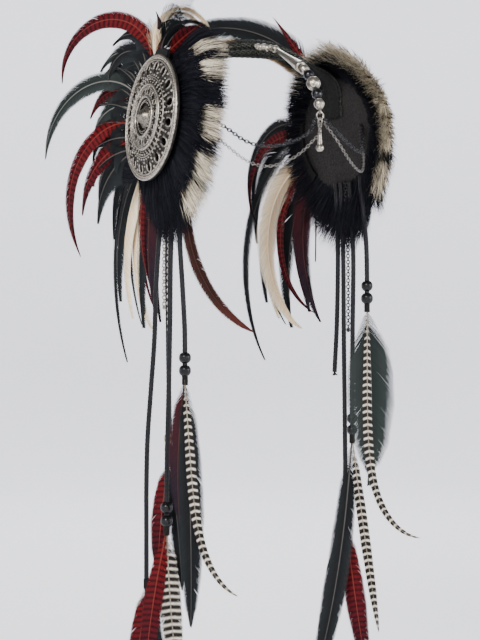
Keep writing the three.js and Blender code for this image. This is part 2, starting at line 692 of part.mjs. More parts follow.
function addStrands(sideName, sign, strands, chains) {
  for (const strand of strands) {
    addMesh(`lace_${sideName}_${strand.name}`, hangingBar(strand, laceRadius, sign), surfaces.leather());
  }
  for (const chain of chains) {
    const geometry = hangingBar(chain, hangingChainRadius, sign);
    addMesh(`chain_${sideName}_${chain.name}`, geometry, surfaces.silver());
  }
  for (const { side, lace, lower, upper, metal } of laceBeads) {
    if (side !== sideName) continue;
    const end = laceEnd(strands.find((s) => s.name === lace).points, sign);
    const lowerPlace = end.clone().add(vector(0, 0, lower / 4));
    const upperPlace = lowerPlace.clone().add(vector(0, 0, (lower + upper) / 2 + gap));
    const bore = laceRadius + drillGap;
    const up = vector(0, 0, 1);
    const lowerBead = standAlong(drilledBead(lower, bore), up, lowerPlace);
    const upperBead = standAlong(drilledBead(upper, bore), up, upperPlace);
    addMesh(`bead_${side}_${lace}_lower`, lowerBead, surfaces.darkBead());
    addMesh(`bead_${side}_${lace}_upper`, upperBead, metal ? surfaces.gold() : surfaces.darkBead());
  }
  for (const { side, lace, feathers } of dropFeathers) {
    if (side !== sideName) continue;
    const end = laceEnd(strands.find((s) => s.name === lace).points, sign);
    addMesh(`feather_drop_${side}_${lace}`, dropGeometry(end, feathers), surfaces.blackFeather());
  }
}

// The whole headdress
addMesh('headband', bandGeometry(), surfaces.band());
addMesh('crown_ornament', ornamentGeometry(), surfaces.silver());
addMesh('forehead_wire', wireGeometry(), surfaces.silver());
const capPlace = stringPlace(stringPieces.cap);
const capBead = standAlong(drilledBead(capDiameter, wireRadius + drillGap), stringDirection(0), capPlace);
addMesh('forehead_cap', capBead, surfaces.silver());
addMesh('forehead_cone', coneGeometry(), surfaces.silver());
stringBeads().forEach(({ geometry }, i) => {
  const surface = i % 2 === 0 ? surfaces.silver() : surfaces.darkMetal();
  addMesh(`forehead_bead_${i + 1}`, geometry, surface);
});
addMesh('jump_ring_upper', ringAt(upperRingRadius, upperRingCentre, false), surfaces.silver());
addMesh('jump_ring_lower', ringAt(lowerRingRadius, lowerRingCentre, true), surfaces.silver());
addMesh('forehead_drop', foreheadDropGeometry(), surfaces.silver());

for (const { name, place } of padSides) {
  for (const { name: level, radius, points } of swagRoutes) {
    const route = [swagStarts[level].toArray(), ...swagPoints(points)];
    addMesh(`swag_${level}_${name}`, place(bar(route, radius)), surfaces.darkMetal());
  }
  addMesh(`fur_pad_${name}`, place(padGeometry()), surfaces.fur());
  addMesh(`medallion_${name}`, place(medallionGeometry()), surfaces.silver());
  addMesh(`medallion_stud_${name}`, place(studGeometry()), surfaces.silver());
  const fan = plume(fanFeathers, outerStripRadius, padThick + gap);
  addMesh(`fan_plume_${name}`, place(fan), surfaces.redFeather());
  const nape = plume(napeFeathers, innerStripRadius, -gap - stripThick);
  addMesh(`nape_plume_${name}`, place(nape), surfaces.blackFeather());
  const crest = name === 'left'
    ? plume(farCrestFeathers, innerStripRadius, -gap - stripThick)
    : plume(crestFeathers, outerStripRadius, padThick + gap, true);
  addMesh(`crest_plume_${name}`, place(crest), surfaces.blackFeather());
}
const cheek = plume([cheekFeather], innerStripRadius, -gap - stripThick);
addMesh('cheek_feather_right', mirrored(cheek), surfaces.redFeather());

addStrands('right', -1, rightStrands, rightChains);
addStrands('left', 1, leftStrands, leftChains);

export default group;
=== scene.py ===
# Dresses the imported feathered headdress: fur, feathers, pierced silver, lace, chains and cords.
# Lengths here are in millimetres until a piece is made, which turns them into metres.
# The wearer looks along -Y, and the wearer's right side, nearer the camera, is -X.
import math

import bpy
import numpy as np
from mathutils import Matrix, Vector


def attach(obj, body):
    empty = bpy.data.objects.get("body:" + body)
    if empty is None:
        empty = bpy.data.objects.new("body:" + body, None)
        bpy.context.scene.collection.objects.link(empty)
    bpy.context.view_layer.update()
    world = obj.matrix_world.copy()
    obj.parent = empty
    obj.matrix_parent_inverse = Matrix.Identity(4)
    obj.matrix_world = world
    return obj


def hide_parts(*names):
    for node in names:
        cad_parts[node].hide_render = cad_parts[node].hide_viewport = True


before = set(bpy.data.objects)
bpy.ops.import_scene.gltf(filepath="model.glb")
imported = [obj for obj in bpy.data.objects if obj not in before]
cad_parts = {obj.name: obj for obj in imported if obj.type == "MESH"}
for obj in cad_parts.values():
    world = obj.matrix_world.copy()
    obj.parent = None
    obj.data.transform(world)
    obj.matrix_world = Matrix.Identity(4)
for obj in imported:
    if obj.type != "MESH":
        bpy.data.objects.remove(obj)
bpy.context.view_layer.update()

MM = 0.001
UP = np.array([0.0, 0.0, 1.0])

# Sizes shared by the pieces, in millimetres
GAP = 0.3
PAD_SPAN = 150
PAD_BACK = 10
PAD_DROP = 60
PAD_LEAN_UP = math.radians(4.5)
PAD_LEAN_BACK = math.radians(3.5)
PAD_THICK = 14.5
HIDE_RADIUS = 52
HIDE_THICK = 2.2
FUR_RADIUS = 77
REAR_FUR_RADIUS = 61
WISP_LENGTH = 14
STRIP_THICK = 2.4
STRIP_WIDTH = 8
STRIP_MARGIN = 5
OUTER_STRIP_RADIUS = 50
INNER_STRIP_RADIUS = 46.5
MEDALLION_SEAT = PAD_THICK + 2 * GAP + STRIP_THICK
LACE_RADIUS = 2
CHAIN_RADIUS = 1.5
QUILL_LENGTH = 7
STRAND_SEAT = 14
FEATHER_LAYER = 1.76

# Camera and studio
CAMERA_PLACE = (-0.6639, -1.1128, -0.215)
CAMERA_TURN = -30
CAMERA_LENS = 91.4
CAMERA_SENSOR = 36


# Small geometry helpers

# A direction that no route starts along
ODD_DIRECTION = (0.3, 0.8, 0.52)
RIGHT_SIDE = np.array([-1, 1, 1])


def unit(v):
    v = np.asarray(v, float)
    return v / np.linalg.norm(v, axis=-1, keepdims=True)


def around(count):
    """Angles of a whole turn, in equal steps."""
    return np.linspace(0, 2 * math.pi, count, endpoint=False)


def section_ways(n, b, a):
    """Directions at angles round a section, from its two crosswise directions."""
    return n[:, None] * np.cos(a)[None, :, None] + b[:, None] * np.sin(a)[None, :, None]


PAD_OUT = np.array([
    math.cos(PAD_LEAN_UP) * math.cos(PAD_LEAN_BACK),
    math.cos(PAD_LEAN_UP) * math.sin(PAD_LEAN_BACK),
    math.sin(PAD_LEAN_UP),
])
PAD_RISE = unit(UP - PAD_OUT * PAD_OUT[2])
PAD_REAR = np.cross(PAD_RISE, PAD_OUT)
PAD_CENTRE = np.array([PAD_SPAN / 2, PAD_BACK, -PAD_DROP])


def on_pad(x, y, z):
    """World places of pad places: x out of the pad's face, y back, z up, on the wearer's left."""
    x, y, z = np.broadcast_arrays(np.asarray(x, float), y, z)
    return PAD_CENTRE + x[..., None] * PAD_OUT + y[..., None] * PAD_REAR + z[..., None] * PAD_RISE


def smooth_route(points, spacing):
    """Points at about that spacing along a centripetal Catmull-Rom curve through the given ones."""
    knots = [np.asarray(p, float) for p in points]
    knots = [2 * knots[0] - knots[1], *knots, 2 * knots[-1] - knots[-2]]
    dense = []
    for p0, p1, p2, p3 in zip(knots, knots[1:], knots[2:], knots[3:]):
        t0 = 0
        t1 = t0 + np.linalg.norm(p1 - p0) ** 0.5
        t2 = t1 + np.linalg.norm(p2 - p1) ** 0.5
        t3 = t2 + np.linalg.norm(p3 - p2) ** 0.5
        t = np.linspace(t1, t2, 30, endpoint=False)[:, None]
        a1 = (t1 - t) / (t1 - t0) * p0 + (t - t0) / (t1 - t0) * p1
        a2 = (t2 - t) / (t2 - t1) * p1 + (t - t1) / (t2 - t1) * p2
        a3 = (t3 - t) / (t3 - t2) * p2 + (t - t2) / (t3 - t2) * p3
        b1 = (t2 - t) / (t2 - t0) * a1 + (t - t0) / (t2 - t0) * a2
        b2 = (t3 - t) / (t3 - t1) * a2 + (t - t1) / (t3 - t1) * a3
        dense.append((t2 - t) / (t2 - t1) * b1 + (t - t1) / (t2 - t1) * b2)
    dense = np.vstack([*dense, knots[-2][None]])
    run = np.concatenate([[0], np.cumsum(np.linalg.norm(np.diff(dense, axis=0), axis=1))])
    count = max(2, int(round(run[-1] / spacing)) + 1)
    at = np.linspace(0, run[-1], count)
    return np.column_stack([np.interp(at, run, dense[:, k]) for k in range(3)])


def route_length(route):
    return float(np.linalg.norm(np.diff(route, axis=0), axis=1).sum())


def route_frames(route):
    """Tangents and two crosswise directions along a route, turning as little as they can."""
    tangent = unit(np.gradient(route, axis=0))
    normals = [unit(np.cross(tangent[0], ODD_DIRECTION))]
    for t in tangent[1:]:
        n = normals[-1] - t * np.dot(normals[-1], t)
        normals.append(unit(n))
    normals = np.array(normals)
    return tangent, normals, np.cross(tangent, normals)


class Pool:
    """Gathers the vertices, faces, tints and material numbers of one piece."""

    def __init__(self):
        self.verts = []
        self.faces = []
        self.tints = []
        self.marks = []
        self.count = 0

    def add(self, verts, faces, tint=(1, 1, 1), mark=0):
        verts = np.asarray(verts, float).reshape(-1, 3)
        tint = np.broadcast_to(np.asarray(tint, float), verts.shape)
        self.verts.append(verts)
        self.tints.append(tint)
        shifted = np.asarray(faces, int) + self.count
        self.faces.extend(shifted.tolist())
        self.marks.extend([mark] * len(shifted))
        self.count += len(verts)

    def mirror(self):
        """Moves what is gathered to the wearer's right side."""
        self.verts = [v * RIGHT_SIDE for v in self.verts]
        self.faces = [face[::-1] for face in self.faces]
        return self

    def make(self, name, materials, slot, nodes=(), smooth=True):
        mesh = bpy.data.meshes.new(name)
        verts = np.vstack(self.verts) * MM
        mesh.from_pydata(verts.tolist(), [], self.faces)
        tint = np.ones((len(verts), 4))
        tint[:, :3] = np.vstack(self.tints)
        layer = mesh.color_attributes.new("tint", "FLOAT_COLOR", "POINT")
        layer.data.foreach_set("color", tint.ravel())
        for m in materials:
            mesh.materials.append(m)
        mesh.polygons.foreach_set("material_index", self.marks)
        mesh.polygons.foreach_set("use_smooth", [smooth] * len(mesh.polygons))
        mesh.update()
        piece = bpy.data.objects.new(name, mesh)
        bpy.context.scene.collection.objects.link(piece)
        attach(piece, "root")
        if nodes:
            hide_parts(*nodes)
        return piece


def grid_faces(rows, columns, closed=True):
    """Quads of a grid of points, whose columns close on themselves."""
    i, j = np.meshgrid(np.arange(rows - 1), np.arange(columns if closed else columns - 1), indexing="ij")
    k = (j + 1) % columns
    quads = np.stack([i * columns + j, i * columns + k, (i + 1) * columns + k, (i + 1) * columns + j], -1)
    return quads.reshape(-1, 4)


def add_tube(pool, route, radius, sides=6, tint=(1, 1, 1), mark=0):
    """A round tube along a route. radius is one number or one for each point."""
    _, n, b = route_frames(route)
    a = around(sides)
    ring = section_ways(n, b, a)
    radius = np.broadcast_to(np.asarray(radius, float), (len(route),))
    verts = route[:, None] + ring * radius[:, None, None]
    pool.add(verts, grid_faces(len(route), sides), tint, mark)
    close_ends(pool, route, len(route), sides, tint, mark)


def close_ends(pool, route, rows, sides, tint, mark):
    """Closes both ends of the tube that was added last."""
    first = pool.count - rows * sides
    last = pool.count - sides
    tint = np.asarray(tint, float)
    ends = (tint[0], tint[-1]) if tint.ndim == 2 else (tint, tint)
    both = ((first, route[0], True, ends[0]), (last, route[-1], False, ends[1]))
    for start, centre, flip, end_tint in both:
        pool.verts.append(np.asarray(centre, float)[None])
        pool.tints.append(np.asarray(end_tint, float)[None])
        for j in range(sides):
            face = [start + j, start + (j + 1) % sides, pool.count]
            pool.faces.append(face[::-1] if flip else face)
            pool.marks.append(mark)
        pool.count += 1


def add_ribbons(pool, centre, half, tint, outward=True):
    """Narrow strips, one for each row of points. half is the way from the middle line to an edge."""
    rows, steps = centre.shape[:2]
    verts = np.stack([centre - half, centre + half], 2)
    base = np.arange(rows)[:, None] * 2 * steps + np.arange(steps - 1)[None] * 2
    quads = np.stack([base, base + 1, base + 3, base + 2], -1).reshape(-1, 4)
    tint = np.repeat(tint[:, :, None], 2, 2).reshape(-1, 3)
    pool.add(verts, quads if outward else quads[:, ::-1], tint)


def stand_along(verts, direction, place):
    """Turns points whose axis is Z to stand along a direction, and moves them to a place."""
    turn = Vector((0, 0, 1)).rotation_difference(Vector(direction))
    matrix = np.array(turn.to_matrix())
    return np.asarray(verts, float) @ matrix.T + place


def turned(profile, sides):
    """Points and faces of a turned solid about Z. The profile is a list of radius and height."""
    profile = np.asarray(profile, float)
    a = around(sides)
    ring = np.column_stack([np.cos(a), np.sin(a)])
    verts = np.concatenate([
        profile[:, None, :1] * ring[None],
        np.broadcast_to(profile[:, 1][:, None, None], (len(profile), sides, 1)),
    ], -1)
    return verts.reshape(-1, 3), grid_faces(len(profile), sides)


def add_turned(pool, profile, sides, place, direction=(0, 0, 1), tint=(1, 1, 1), mark=0):
    """A turned solid that stands at a place, along a direction."""
    verts, faces = turned(profile, sides)
    pool.add(stand_along(verts, direction, place), faces, tint, mark)


def add_ring(pool, radius, wire, centre, normal, steps=48, sides=8, tint=(1, 1, 1), mark=0):
    """A round wire ring whose plane faces along normal."""
    a = around(steps)
    b = around(sides)
    r = radius + wire * np.cos(b)[None]
    x = np.cos(a)[:, None] * r
    y = np.sin(a)[:, None] * r
    z = np.broadcast_to(wire * np.sin(b)[None], x.shape)
    verts = np.stack([x, y, z], -1)
    faces = grid_faces(steps + 1, sides) % (steps * sides)
    pool.add(stand_along(verts.reshape(-1, 3), normal, centre), faces, tint, mark)


def add_ball(pool, centre, radius, squash=1.0, normal=(0, 0, 1), sides=8, tint=(1, 1, 1), mark=0):
    """A small ball, flattened along normal by squash."""
    lat = np.linspace(-math.pi / 2, math.pi / 2, sides // 2 + 2)
    profile = np.column_stack([np.cos(lat) * radius + 1e-3, np.sin(lat) * radius * squash])
    add_turned(pool, profile, sides, centre, normal, tint, mark)


# Materials

def shader(name, color=(0.5, 0.5, 0.5), roughness=0.5, metallic=0.0, **sockets):
    """A new Principled material and its node tree. Other sockets are given by name."""
    material = bpy.data.materials.new(name)
    material.use_nodes = True
    bsdf = material.node_tree.nodes["Principled BSDF"]
    bsdf.inputs["Base Color"].default_value = (*color, 1)
    bsdf.inputs["Roughness"].default_value = roughness
    bsdf.inputs["Metallic"].default_value = metallic
    for key, value in sockets.items():
        bsdf.inputs[key.replace("_", " ")].default_value = value
    return material, material.node_tree, bsdf


def noise(tree, scale, detail=4, rough=0.6):
    """A noise texture in object space, with scale in waves a metre."""
    place = tree.nodes.new("ShaderNodeTexCoord")
    texture = tree.nodes.new("ShaderNodeTexNoise")
    texture.inputs["Scale"].default_value = scale
    texture.inputs["Detail"].default_value = detail
    texture.inputs["Roughness"].default_value = rough
    tree.links.new(place.outputs["Object"], texture.inputs["Vector"])
    return texture.outputs["Fac"]


def ramp(tree, fac, stops):
    node = tree.nodes.new("ShaderNodeValToRGB")
    elements = node.color_ramp.elements
    while len(elements) < len(stops):
        elements.new(0.5)
    for element, (place, color) in zip(elements, stops):
        element.position = place
        element.color = (*color, 1) if len(color) == 3 else color
    tree.links.new(fac, node.inputs["Fac"])
    return node.outputs["Color"]


def grey(value):
    return (value, value, value)


def bump(tree, bsdf, height, strength, distance):
    node = tree.nodes.new("ShaderNodeBump")
    node.inputs["Strength"].default_value = strength
    node.inputs["Distance"].default_value = distance
    tree.links.new(height, node.inputs["Height"])
    tree.links.new(node.outputs["Normal"], bsdf.inputs["Normal"])


def multiply(tree, a, b):
    node = tree.nodes.new("ShaderNodeMix")
    node.data_type = "RGBA"
    node.blend_type = "MULTIPLY"
    node.inputs["Factor"].default_value = 1
    tree.links.new(a, node.inputs["A"])
    tree.links.new(b, node.inputs["B"])
    return node.outputs["Result"]


def vary(tree, bsdf, socket, pattern, stops):
    """Drives one of the shader's sockets by a pattern, through a ramp."""
    tree.links.new(ramp(tree, pattern, stops), bsdf.inputs[socket])


def piece_tint(tree):
    """The tint that each point of a piece carries."""
    node = tree.nodes.new("ShaderNodeAttribute")
    node.attribute_name = "tint"
    return node.outputs["Color"]


def metal(name, light, dark, roughness, scale=900):
    """Old metal: bright where it is worn, darker where tarnish has stayed, with fine scratches."""
    material, tree, bsdf = shader(name, light, roughness, metallic=1.0)
    patches = noise(tree, scale)
    color = ramp(tree, patches, [(0.35, dark), (0.6, light)])
    tree.links.new(multiply(tree, color, piece_tint(tree)), bsdf.inputs["Base Color"])
    vary(tree, bsdf, "Roughness", patches, [(0.3, grey(roughness + 0.2)), (0.7, grey(roughness - 0.06))])
    bump(tree, bsdf, noise(tree, scale=2600, detail=2), strength=0.12, distance=0.0002)
    return material


def strands(name, roughness, grain, **sockets):
    """Fur or feather: the piece's own tints, with streaks of light and dark."""
    material, tree, bsdf = shader(name, (0.1, 0.1, 0.1), roughness, **sockets)
    streaks = ramp(tree, noise(tree, grain, detail=5), [(0.3, grey(0.72)), (0.7, grey(1.0))])
    tree.links.new(multiply(tree, piece_tint(tree), streaks), bsdf.inputs["Base Color"])
    bump(tree, bsdf, noise(tree, grain * 3, detail=2), strength=0.2, distance=0.0002)
    return material


def leather(name, light, dark, roughness):
    """Hide, waxed cord or thread with a fine grain."""
    material, tree, bsdf = shader(name, light, roughness, Specular_IOR_Level=0.15)
    grain = noise(tree, scale=700, detail=6)
    vary(tree, bsdf, "Base Color", grain, [(0.35, dark), (0.65, light)])
    vary(tree, bsdf, "Roughness", grain, [(0.3, grey(roughness + 0.15)), (0.7, grey(roughness - 0.1))])
    bump(tree, bsdf, noise(tree, scale=1800, detail=4), strength=0.35, distance=0.0003)
    return material


def polished(name, light, dark, roughness, metallic):
    """A polished bead, a little cloudy."""
    material, tree, bsdf = shader(name, light, roughness, metallic, Specular_IOR_Level=0.22)
    clouds = noise(tree, scale=400, detail=3)
    vary(tree, bsdf, "Base Color", clouds, [(0.3, dark), (0.7, light)])
    vary(tree, bsdf, "Roughness", clouds, [(0.3, grey(roughness + 0.12)), (0.7, grey(roughness))])
    return material


SILVER = metal("antique_silver", (0.54, 0.49, 0.41), (0.1, 0.09, 0.078), 0.27)
OXIDE = metal("oxidised_silver", (0.06, 0.055, 0.05), (0.02, 0.018, 0.017), 0.5)
GUNMETAL = metal("gunmetal", (0.05, 0.05, 0.054), (0.014, 0.014, 0.016), 0.22)
DARK_STEEL = metal("dark_steel", (0.24, 0.225, 0.205), (0.06, 0.056, 0.052), 0.25)
FUR = strands("fur", 0.8, 900, Specular_IOR_Level=0.06)
FEATHER = strands("feather", 0.6, 1400, Specular_IOR_Level=0.08)
HIDE = leather("hide", (0.022, 0.02, 0.019), (0.01, 0.009, 0.009), 0.85)
LACE_CORD = leather("waxed_cord", (0.012, 0.012, 0.014), (0.004, 0.004, 0.005), 0.5)
THREAD = leather("binding_thread", (0.012, 0.009, 0.008), (0.004, 0.003, 0.003), 0.6)
DARK_BEAD = polished("dark_bead", (0.006, 0.006, 0.007), (0.003, 0.003, 0.003), 0.16, 0.0)
GOLD = polished("gold_bead", (0.62, 0.47, 0.3), (0.36, 0.25, 0.14), 0.2, 1.0)
LACE_THREAD = metal("lace_thread", (0.05, 0.052, 0.047), (0.012, 0.013, 0.012), 0.4, 1500)
LACE_BASE = leather("lace_net", (0.012, 0.012, 0.012), (0.005, 0.005, 0.005), 0.9)


# Camera

def make_camera():
    data = bpy.data.cameras.new("camera")
    data.lens = CAMERA_LENS
    data.sensor_width = CAMERA_SENSOR
    camera = bpy.data.objects.new("camera", data)
    camera.location = CAMERA_PLACE
    camera.rotation_euler = (math.radians(90), 0, math.radians(CAMERA_TURN))
    bpy.context.scene.collection.objects.link(camera)
    bpy.context.scene.camera = camera


make_camera()


# Laces and chains. back and down: where a strand leaves the hide, from the pad's middle.
RIGHT_LACES = [
    dict(name="front", back=-19, down=42, points=[
        (-80.3, -9.5, -150), (-80.3, -14, -190), (-80.3, -17.5, -222), (-80.3, -18, -240),
        (-80.3, -18, -256)]),
    dict(name="middle", back=3.5, down=42, points=[
        (-79, 13.5, -160), (-78.4, 13.5, -220), (-78, 13, -270), (-77.8, 12.5, -300),
        (-77.8, 12.5, -318)]),
    dict(name="long", back=-4.8, down=42, points=[
        (-80.5, 4.8, -160), (-82, 3.6, -220), (-83.5, 3.2, -280), (-84.3, 4, -325),
        (-84.3, 4.5, -352), (-84.3, 4.5, -373)]),
    dict(name="rear", back=14.5, down=42, points=[
        (-79.2, 27, -150), (-80, 31, -190), (-80, 34, -231), (-80, 40, -270), (-80, 46, -310),
        (-80, 48, -350), (-80, 48, -385), (-80, 48, -421)]),
]
LEFT_LACES = [
    dict(name="front", back=-33, down=38, points=[
        (81.5, -25.5, -150), (81.5, -27, -180), (81.5, -27, -200)]),
    dict(name="middle", back=-18.5, down=42, points=[
        (80.5, -8.6, -160), (80.2, -8.2, -220), (79.8, -8, -270), (79.8, -8, -290),
        (79.8, -8, -307)]),
    dict(name="long", back=-6.5, down=42, points=[
        (79.2, 4.2, -160), (80, 4.6, -220), (81, 4.7, -290), (81.5, 4.7, -330),
        (81.5, 4.7, -350), (81.5, 4.7, -376)]),
    dict(name="frayed", back=0.5, down=42, points=[
        (78.6, 11.2, -160), (78.2, 12, -215), (77.8, 15, -258)]),
]
RIGHT_CHAINS = [
    dict(name="rear", back=9.2, down=42, points=[(-79, 19.4, -160), (-79, 19.2, -205)]),
    dict(name="front", back=-0.7, down=42, points=[(-79.9, 9.2, -160), (-80, 9, -222)]),
]
LEFT_CHAINS = [
    dict(name="front", back=-11.6, down=42, points=[(79.9, -1.8, -160), (80.2, -1.8, -223)]),
]
# Diameters of the two beads on a lace, and whether the upper one is gilt
LACE_BEADS = [
    dict(side="right", lace="front", lower=9.5, upper=9.5, metal=False),
    dict(side="right", lace="middle", lower=8, upper=9, metal=True),
    dict(side="right", lace="long", lower=10, upper=10, metal=False),
    dict(side="left", lace="front", lower=10, upper=9.5, metal=False),
    dict(side="left", lace="middle", lower=9, upper=9, metal=False),
    dict(side="left", lace="long", lower=9, upper=9, metal=True),
]
BRAID_PITCH = 7.0
# Thread wound round the quills at a lace's end: turns, radius of the core and of the thread's line
BINDING_TURNS = 9
BINDING_RADIUS = 1.9
WOUND_RADIUS = 2.05
# Each side's laces and chains, and the sign of X there
SIGNS = {"left": 1, "right": -1}
LACES = {"left": LEFT_LACES, "right": RIGHT_LACES}
CHAINS = {"left": LEFT_CHAINS, "right": RIGHT_CHAINS}


def strand_points(strand, radius, side):
    """The points of a strand: two against the hide, then the listed ones."""
    seats = []
    for down in (strand["down"], strand["down"] + STRAND_SEAT):
        seats.append(on_pad(-GAP - radius, strand["back"], -down) * [SIGNS[side], 1, 1])
    return seats + [np.array(point, float) for point in strand["points"]]


def bead_profile(diameter, bore, groove=0.0):
    """A drilled bead's outline, with an optional groove round its middle."""
    radius = diameter / 2
    lat = np.linspace(-1, 1, 15) * math.acos(bore / radius)
    r = radius * np.cos(lat) - groove * np.exp(-((lat / 0.12) ** 2))
    outer = np.column_stack([r, radius * np.sin(lat)])
    return np.vstack([outer, [[bore, outer[-1, 1] - 0.4], [bore, outer[0, 1] + 0.4]], outer[:1]])


def make_lace_beads(side, strand):
    """The two beads near a lace's end, as separate pieces."""
    pieces = []
    for row in LACE_BEADS:
        if (row["side"], row["lace"]) != (side, strand["name"]):
            continue
        end = np.array(strand["points"][-1], float)
        lower = end + UP * row["lower"] / 4
        upper = lower + UP * ((row["lower"] + row["upper"]) / 2 + GAP)
        levels = (("lower", lower, False), ("upper", upper, row["metal"]))
        for level, place, is_gold in levels:
            pool = Pool()
            groove = 0.0 if is_gold else 0.18
            add_turned(pool, bead_profile(row[level], LACE_RADIUS + 0.35, groove), 28, place)
            name = f"bead_{side}_{row['lace']}_{level}"
            material, slot = (GOLD, "gold_bead") if is_gold else (DARK_BEAD, "dark_bead")
            pieces.append(pool.make(f"{name}_round", [material], slot, [name]))
    return pieces


def make_binding(side, strand):
    """Thread wound round the quills at a lace's end."""
    end = np.array(strand["points"][-1], float)
    height = QUILL_LENGTH + 1.5
    a = np.linspace(0, 2 * math.pi * BINDING_TURNS, BINDING_TURNS * 14)
    route = np.column_stack([
        end[0] + WOUND_RADIUS * np.cos(a), end[1] + WOUND_RADIUS * np.sin(a),
        np.linspace(end[2] - 0.6, end[2] - height, len(a)),
    ])
    pool = Pool()
    add_tube(pool, route, 0.5, 5)
    core = [(0.01, -height), (BINDING_RADIUS, -height), (BINDING_RADIUS, 0), (0.01, 0)]
    add_turned(pool, core, 12, end - UP * GAP)
    return pool.make(f"binding_{side}_{strand['name']}", [THREAD], "leather_lace")


def make_lace(side, strand):
    """A braided cord: its surface rises and falls where its strands cross."""
    route = smooth_route(strand_points(strand, LACE_RADIUS, side), 1.1)
    _, n, b = route_frames(route)
    sides = 12
    a = around(sides)[None]
    s = np.linspace(0, route_length(route), len(route))[:, None]
    wave = 2 * math.pi * s / BRAID_PITCH
    relief = np.abs(np.sin(1.5 * a + wave)) + np.abs(np.sin(1.5 * a - wave))
    radius = LACE_RADIUS * (0.9 + 0.07 * relief)
    ring = section_ways(n, b, a[0])
    pool = Pool()
    pool.add(route[:, None] + ring * radius[..., None], grid_faces(len(route), sides))
    close_ends(pool, route, len(route), sides, (1, 1, 1), 0)
    if strand["name"] == "frayed":
        add_frayed_end(pool, route[-1])
    name = f"lace_{side}_{strand['name']}"
    lace = pool.make(f"{name}_cord", [LACE_CORD], "leather_lace", [name])
    fittings = make_lace_beads(side, strand)
    has_end = strand["name"] != "frayed"
    if has_end:
        fittings.append(make_binding(side, strand))


def add_frayed_end(pool, end):
    """Loose threads at the end of the frayed lace."""
    rng = np.random.default_rng(71)
    for _ in range(14):
        lean = rng.normal(0, 1.6, 2)
        route = smooth_route([end + UP * 1.5, end + [lean[0] * 0.4, lean[1] * 0.4, -1.2],
                              end + [lean[0], lean[1], -rng.uniform(2.2, 3.2)]], 0.9)
        add_tube(pool, route, 0.28, 4)


for side_name, strand_table in LACES.items():
    for strand_row in strand_table:
        make_lace(side_name, strand_row)


def link_template(length, width, wire, steps=14, sides=6):
    """One oval link, its long way along X and its plane facing Z, a little squarer than an ellipse."""
    a = around(steps)
    squared = 0.8
    cx = np.sign(np.cos(a)) * np.abs(np.cos(a)) ** squared * (length - wire) / 2
    cy = np.sign(np.sin(a)) * np.abs(np.sin(a)) ** squared * (width - wire) / 2
    centre = np.column_stack([cx, cy, np.zeros(steps)])
    tangent = unit(np.roll(centre, -1, 0) - np.roll(centre, 1, 0))
    outward = np.cross(tangent, [0, 0, 1])
    b = around(sides)
    ring = section_ways(outward, UP[None], b)
    verts = centre[:, None] + ring * wire / 2
    return verts.reshape(-1, 3), grid_faces(steps + 1, sides) % (steps * sides)


def add_chain(pool, points, width, wire, pitch, turn=90, start_turn=0):
    """Oval links along a route, each turned against the one before."""
    route = smooth_route(points, pitch)
    tangent, n, b = route_frames(route)
    verts, faces = link_template(pitch + 2 * wire, width, wire)
    for i, place in enumerate(route):
        roll = math.radians(start_turn + turn * (i % 2))
        y = n[i] * math.cos(roll) + b[i] * math.sin(roll)
        z = np.cross(tangent[i], y)
        pool.add(verts @ np.array([tangent[i], y, z]) + place, faces)


def make_hanging_chains():
    for side, rows in CHAINS.items():
        for row in rows:
            pool = Pool()
            points = strand_points(row, CHAIN_RADIUS, side)
            add_chain(pool, points, 2 * CHAIN_RADIUS + 0.3, 0.8, 2.5)
            name = f"chain_{side}_{row['name']}"
            add_ball(pool, points[-1] - UP * 0.5, 1.4, sides=12)
            # The near front chain has one larger bead part of the way up
            if name == "chain_right_front":
                add_ball(pool, points[-1] + UP * 20, 2.4, 0.9, sides=14)
            material = SILVER if side == "right" else GUNMETAL
            pool.make(f"{name}_links", [material], "antique_silver", [name])


make_hanging_chains()


# Feathers

SHAFT_STEPS = 140
BARB_SPACING = 0.7
BARB_SLANT = 38
VANE_CAMBER = 0.16
# Points along a barb. Barred feathers need more, so that the bars run straight across the vane.
PLAIN_BARB_STEPS = 4
BARB_STEPS = dict(red=8, grizzly=10)
# Outlines of a vane: share of the length and share of the width
SABRE = np.array([(0, 0.0), (0.05, 0.22), (0.12, 0.78), (0.22, 1), (0.42, 0.96), (0.62, 0.74),
                  (0.8, 0.44), (0.93, 0.18), (1, 0.03)])
OVAL = np.array([(0, 0.0), (0.06, 0.2), (0.16, 0.7), (0.34, 0.96), (0.56, 1), (0.8, 0.74),
                 (0.93, 0.42), (1, 0.08)])


def headings(share, across, start, turn, ease):
    """Directions along a shaft that starts at one heading and turns, late where ease is high."""
    heading = np.radians(start + turn * share ** ease)
    return np.cos(heading)[:, None] * across + np.sin(heading)[:, None] * UP


def feather_line(root, across, start, turn, ease, length, ribbon=False):
    """The shaft of a feather: places, directions and the vane's sideways and facing directions."""
    step = headings((np.arange(SHAFT_STEPS) + 0.5) / SHAFT_STEPS, across, start, turn, ease)
    place = root + np.vstack([np.zeros(3), np.cumsum(step, 0)]) * length / SHAFT_STEPS
    at = np.linspace(0, 1, SHAFT_STEPS + 1)
    along = headings(at, across, start, turn, ease)
    normal = np.broadcast_to(unit(np.cross(across, UP)), along.shape)
    edge = np.cross(normal, along)
    side, face = (normal, edge) if ribbon else (edge, normal)
    return dict(at=at, place=place, along=along, side=side, face=face, length=length)


def sample(line, key, t):
    """One of a shaft's tables at shares of the way along it."""
    return np.stack([np.interp(t, line["at"], line[key][:, k]) for k in range(3)], -1)


def bars(distance, period, duty):
    """1 inside a dark bar and 0 between, with soft edges."""
    wave = np.cos(2 * math.pi * (distance / period))
    edge = math.cos(math.pi * duty)
    return np.clip((wave - edge) / 0.5 + 0.5, 0, 1)


def blend(a, b, share):
    return np.asarray(a) * (1 - share[..., None]) + np.asarray(b) * share[..., None]


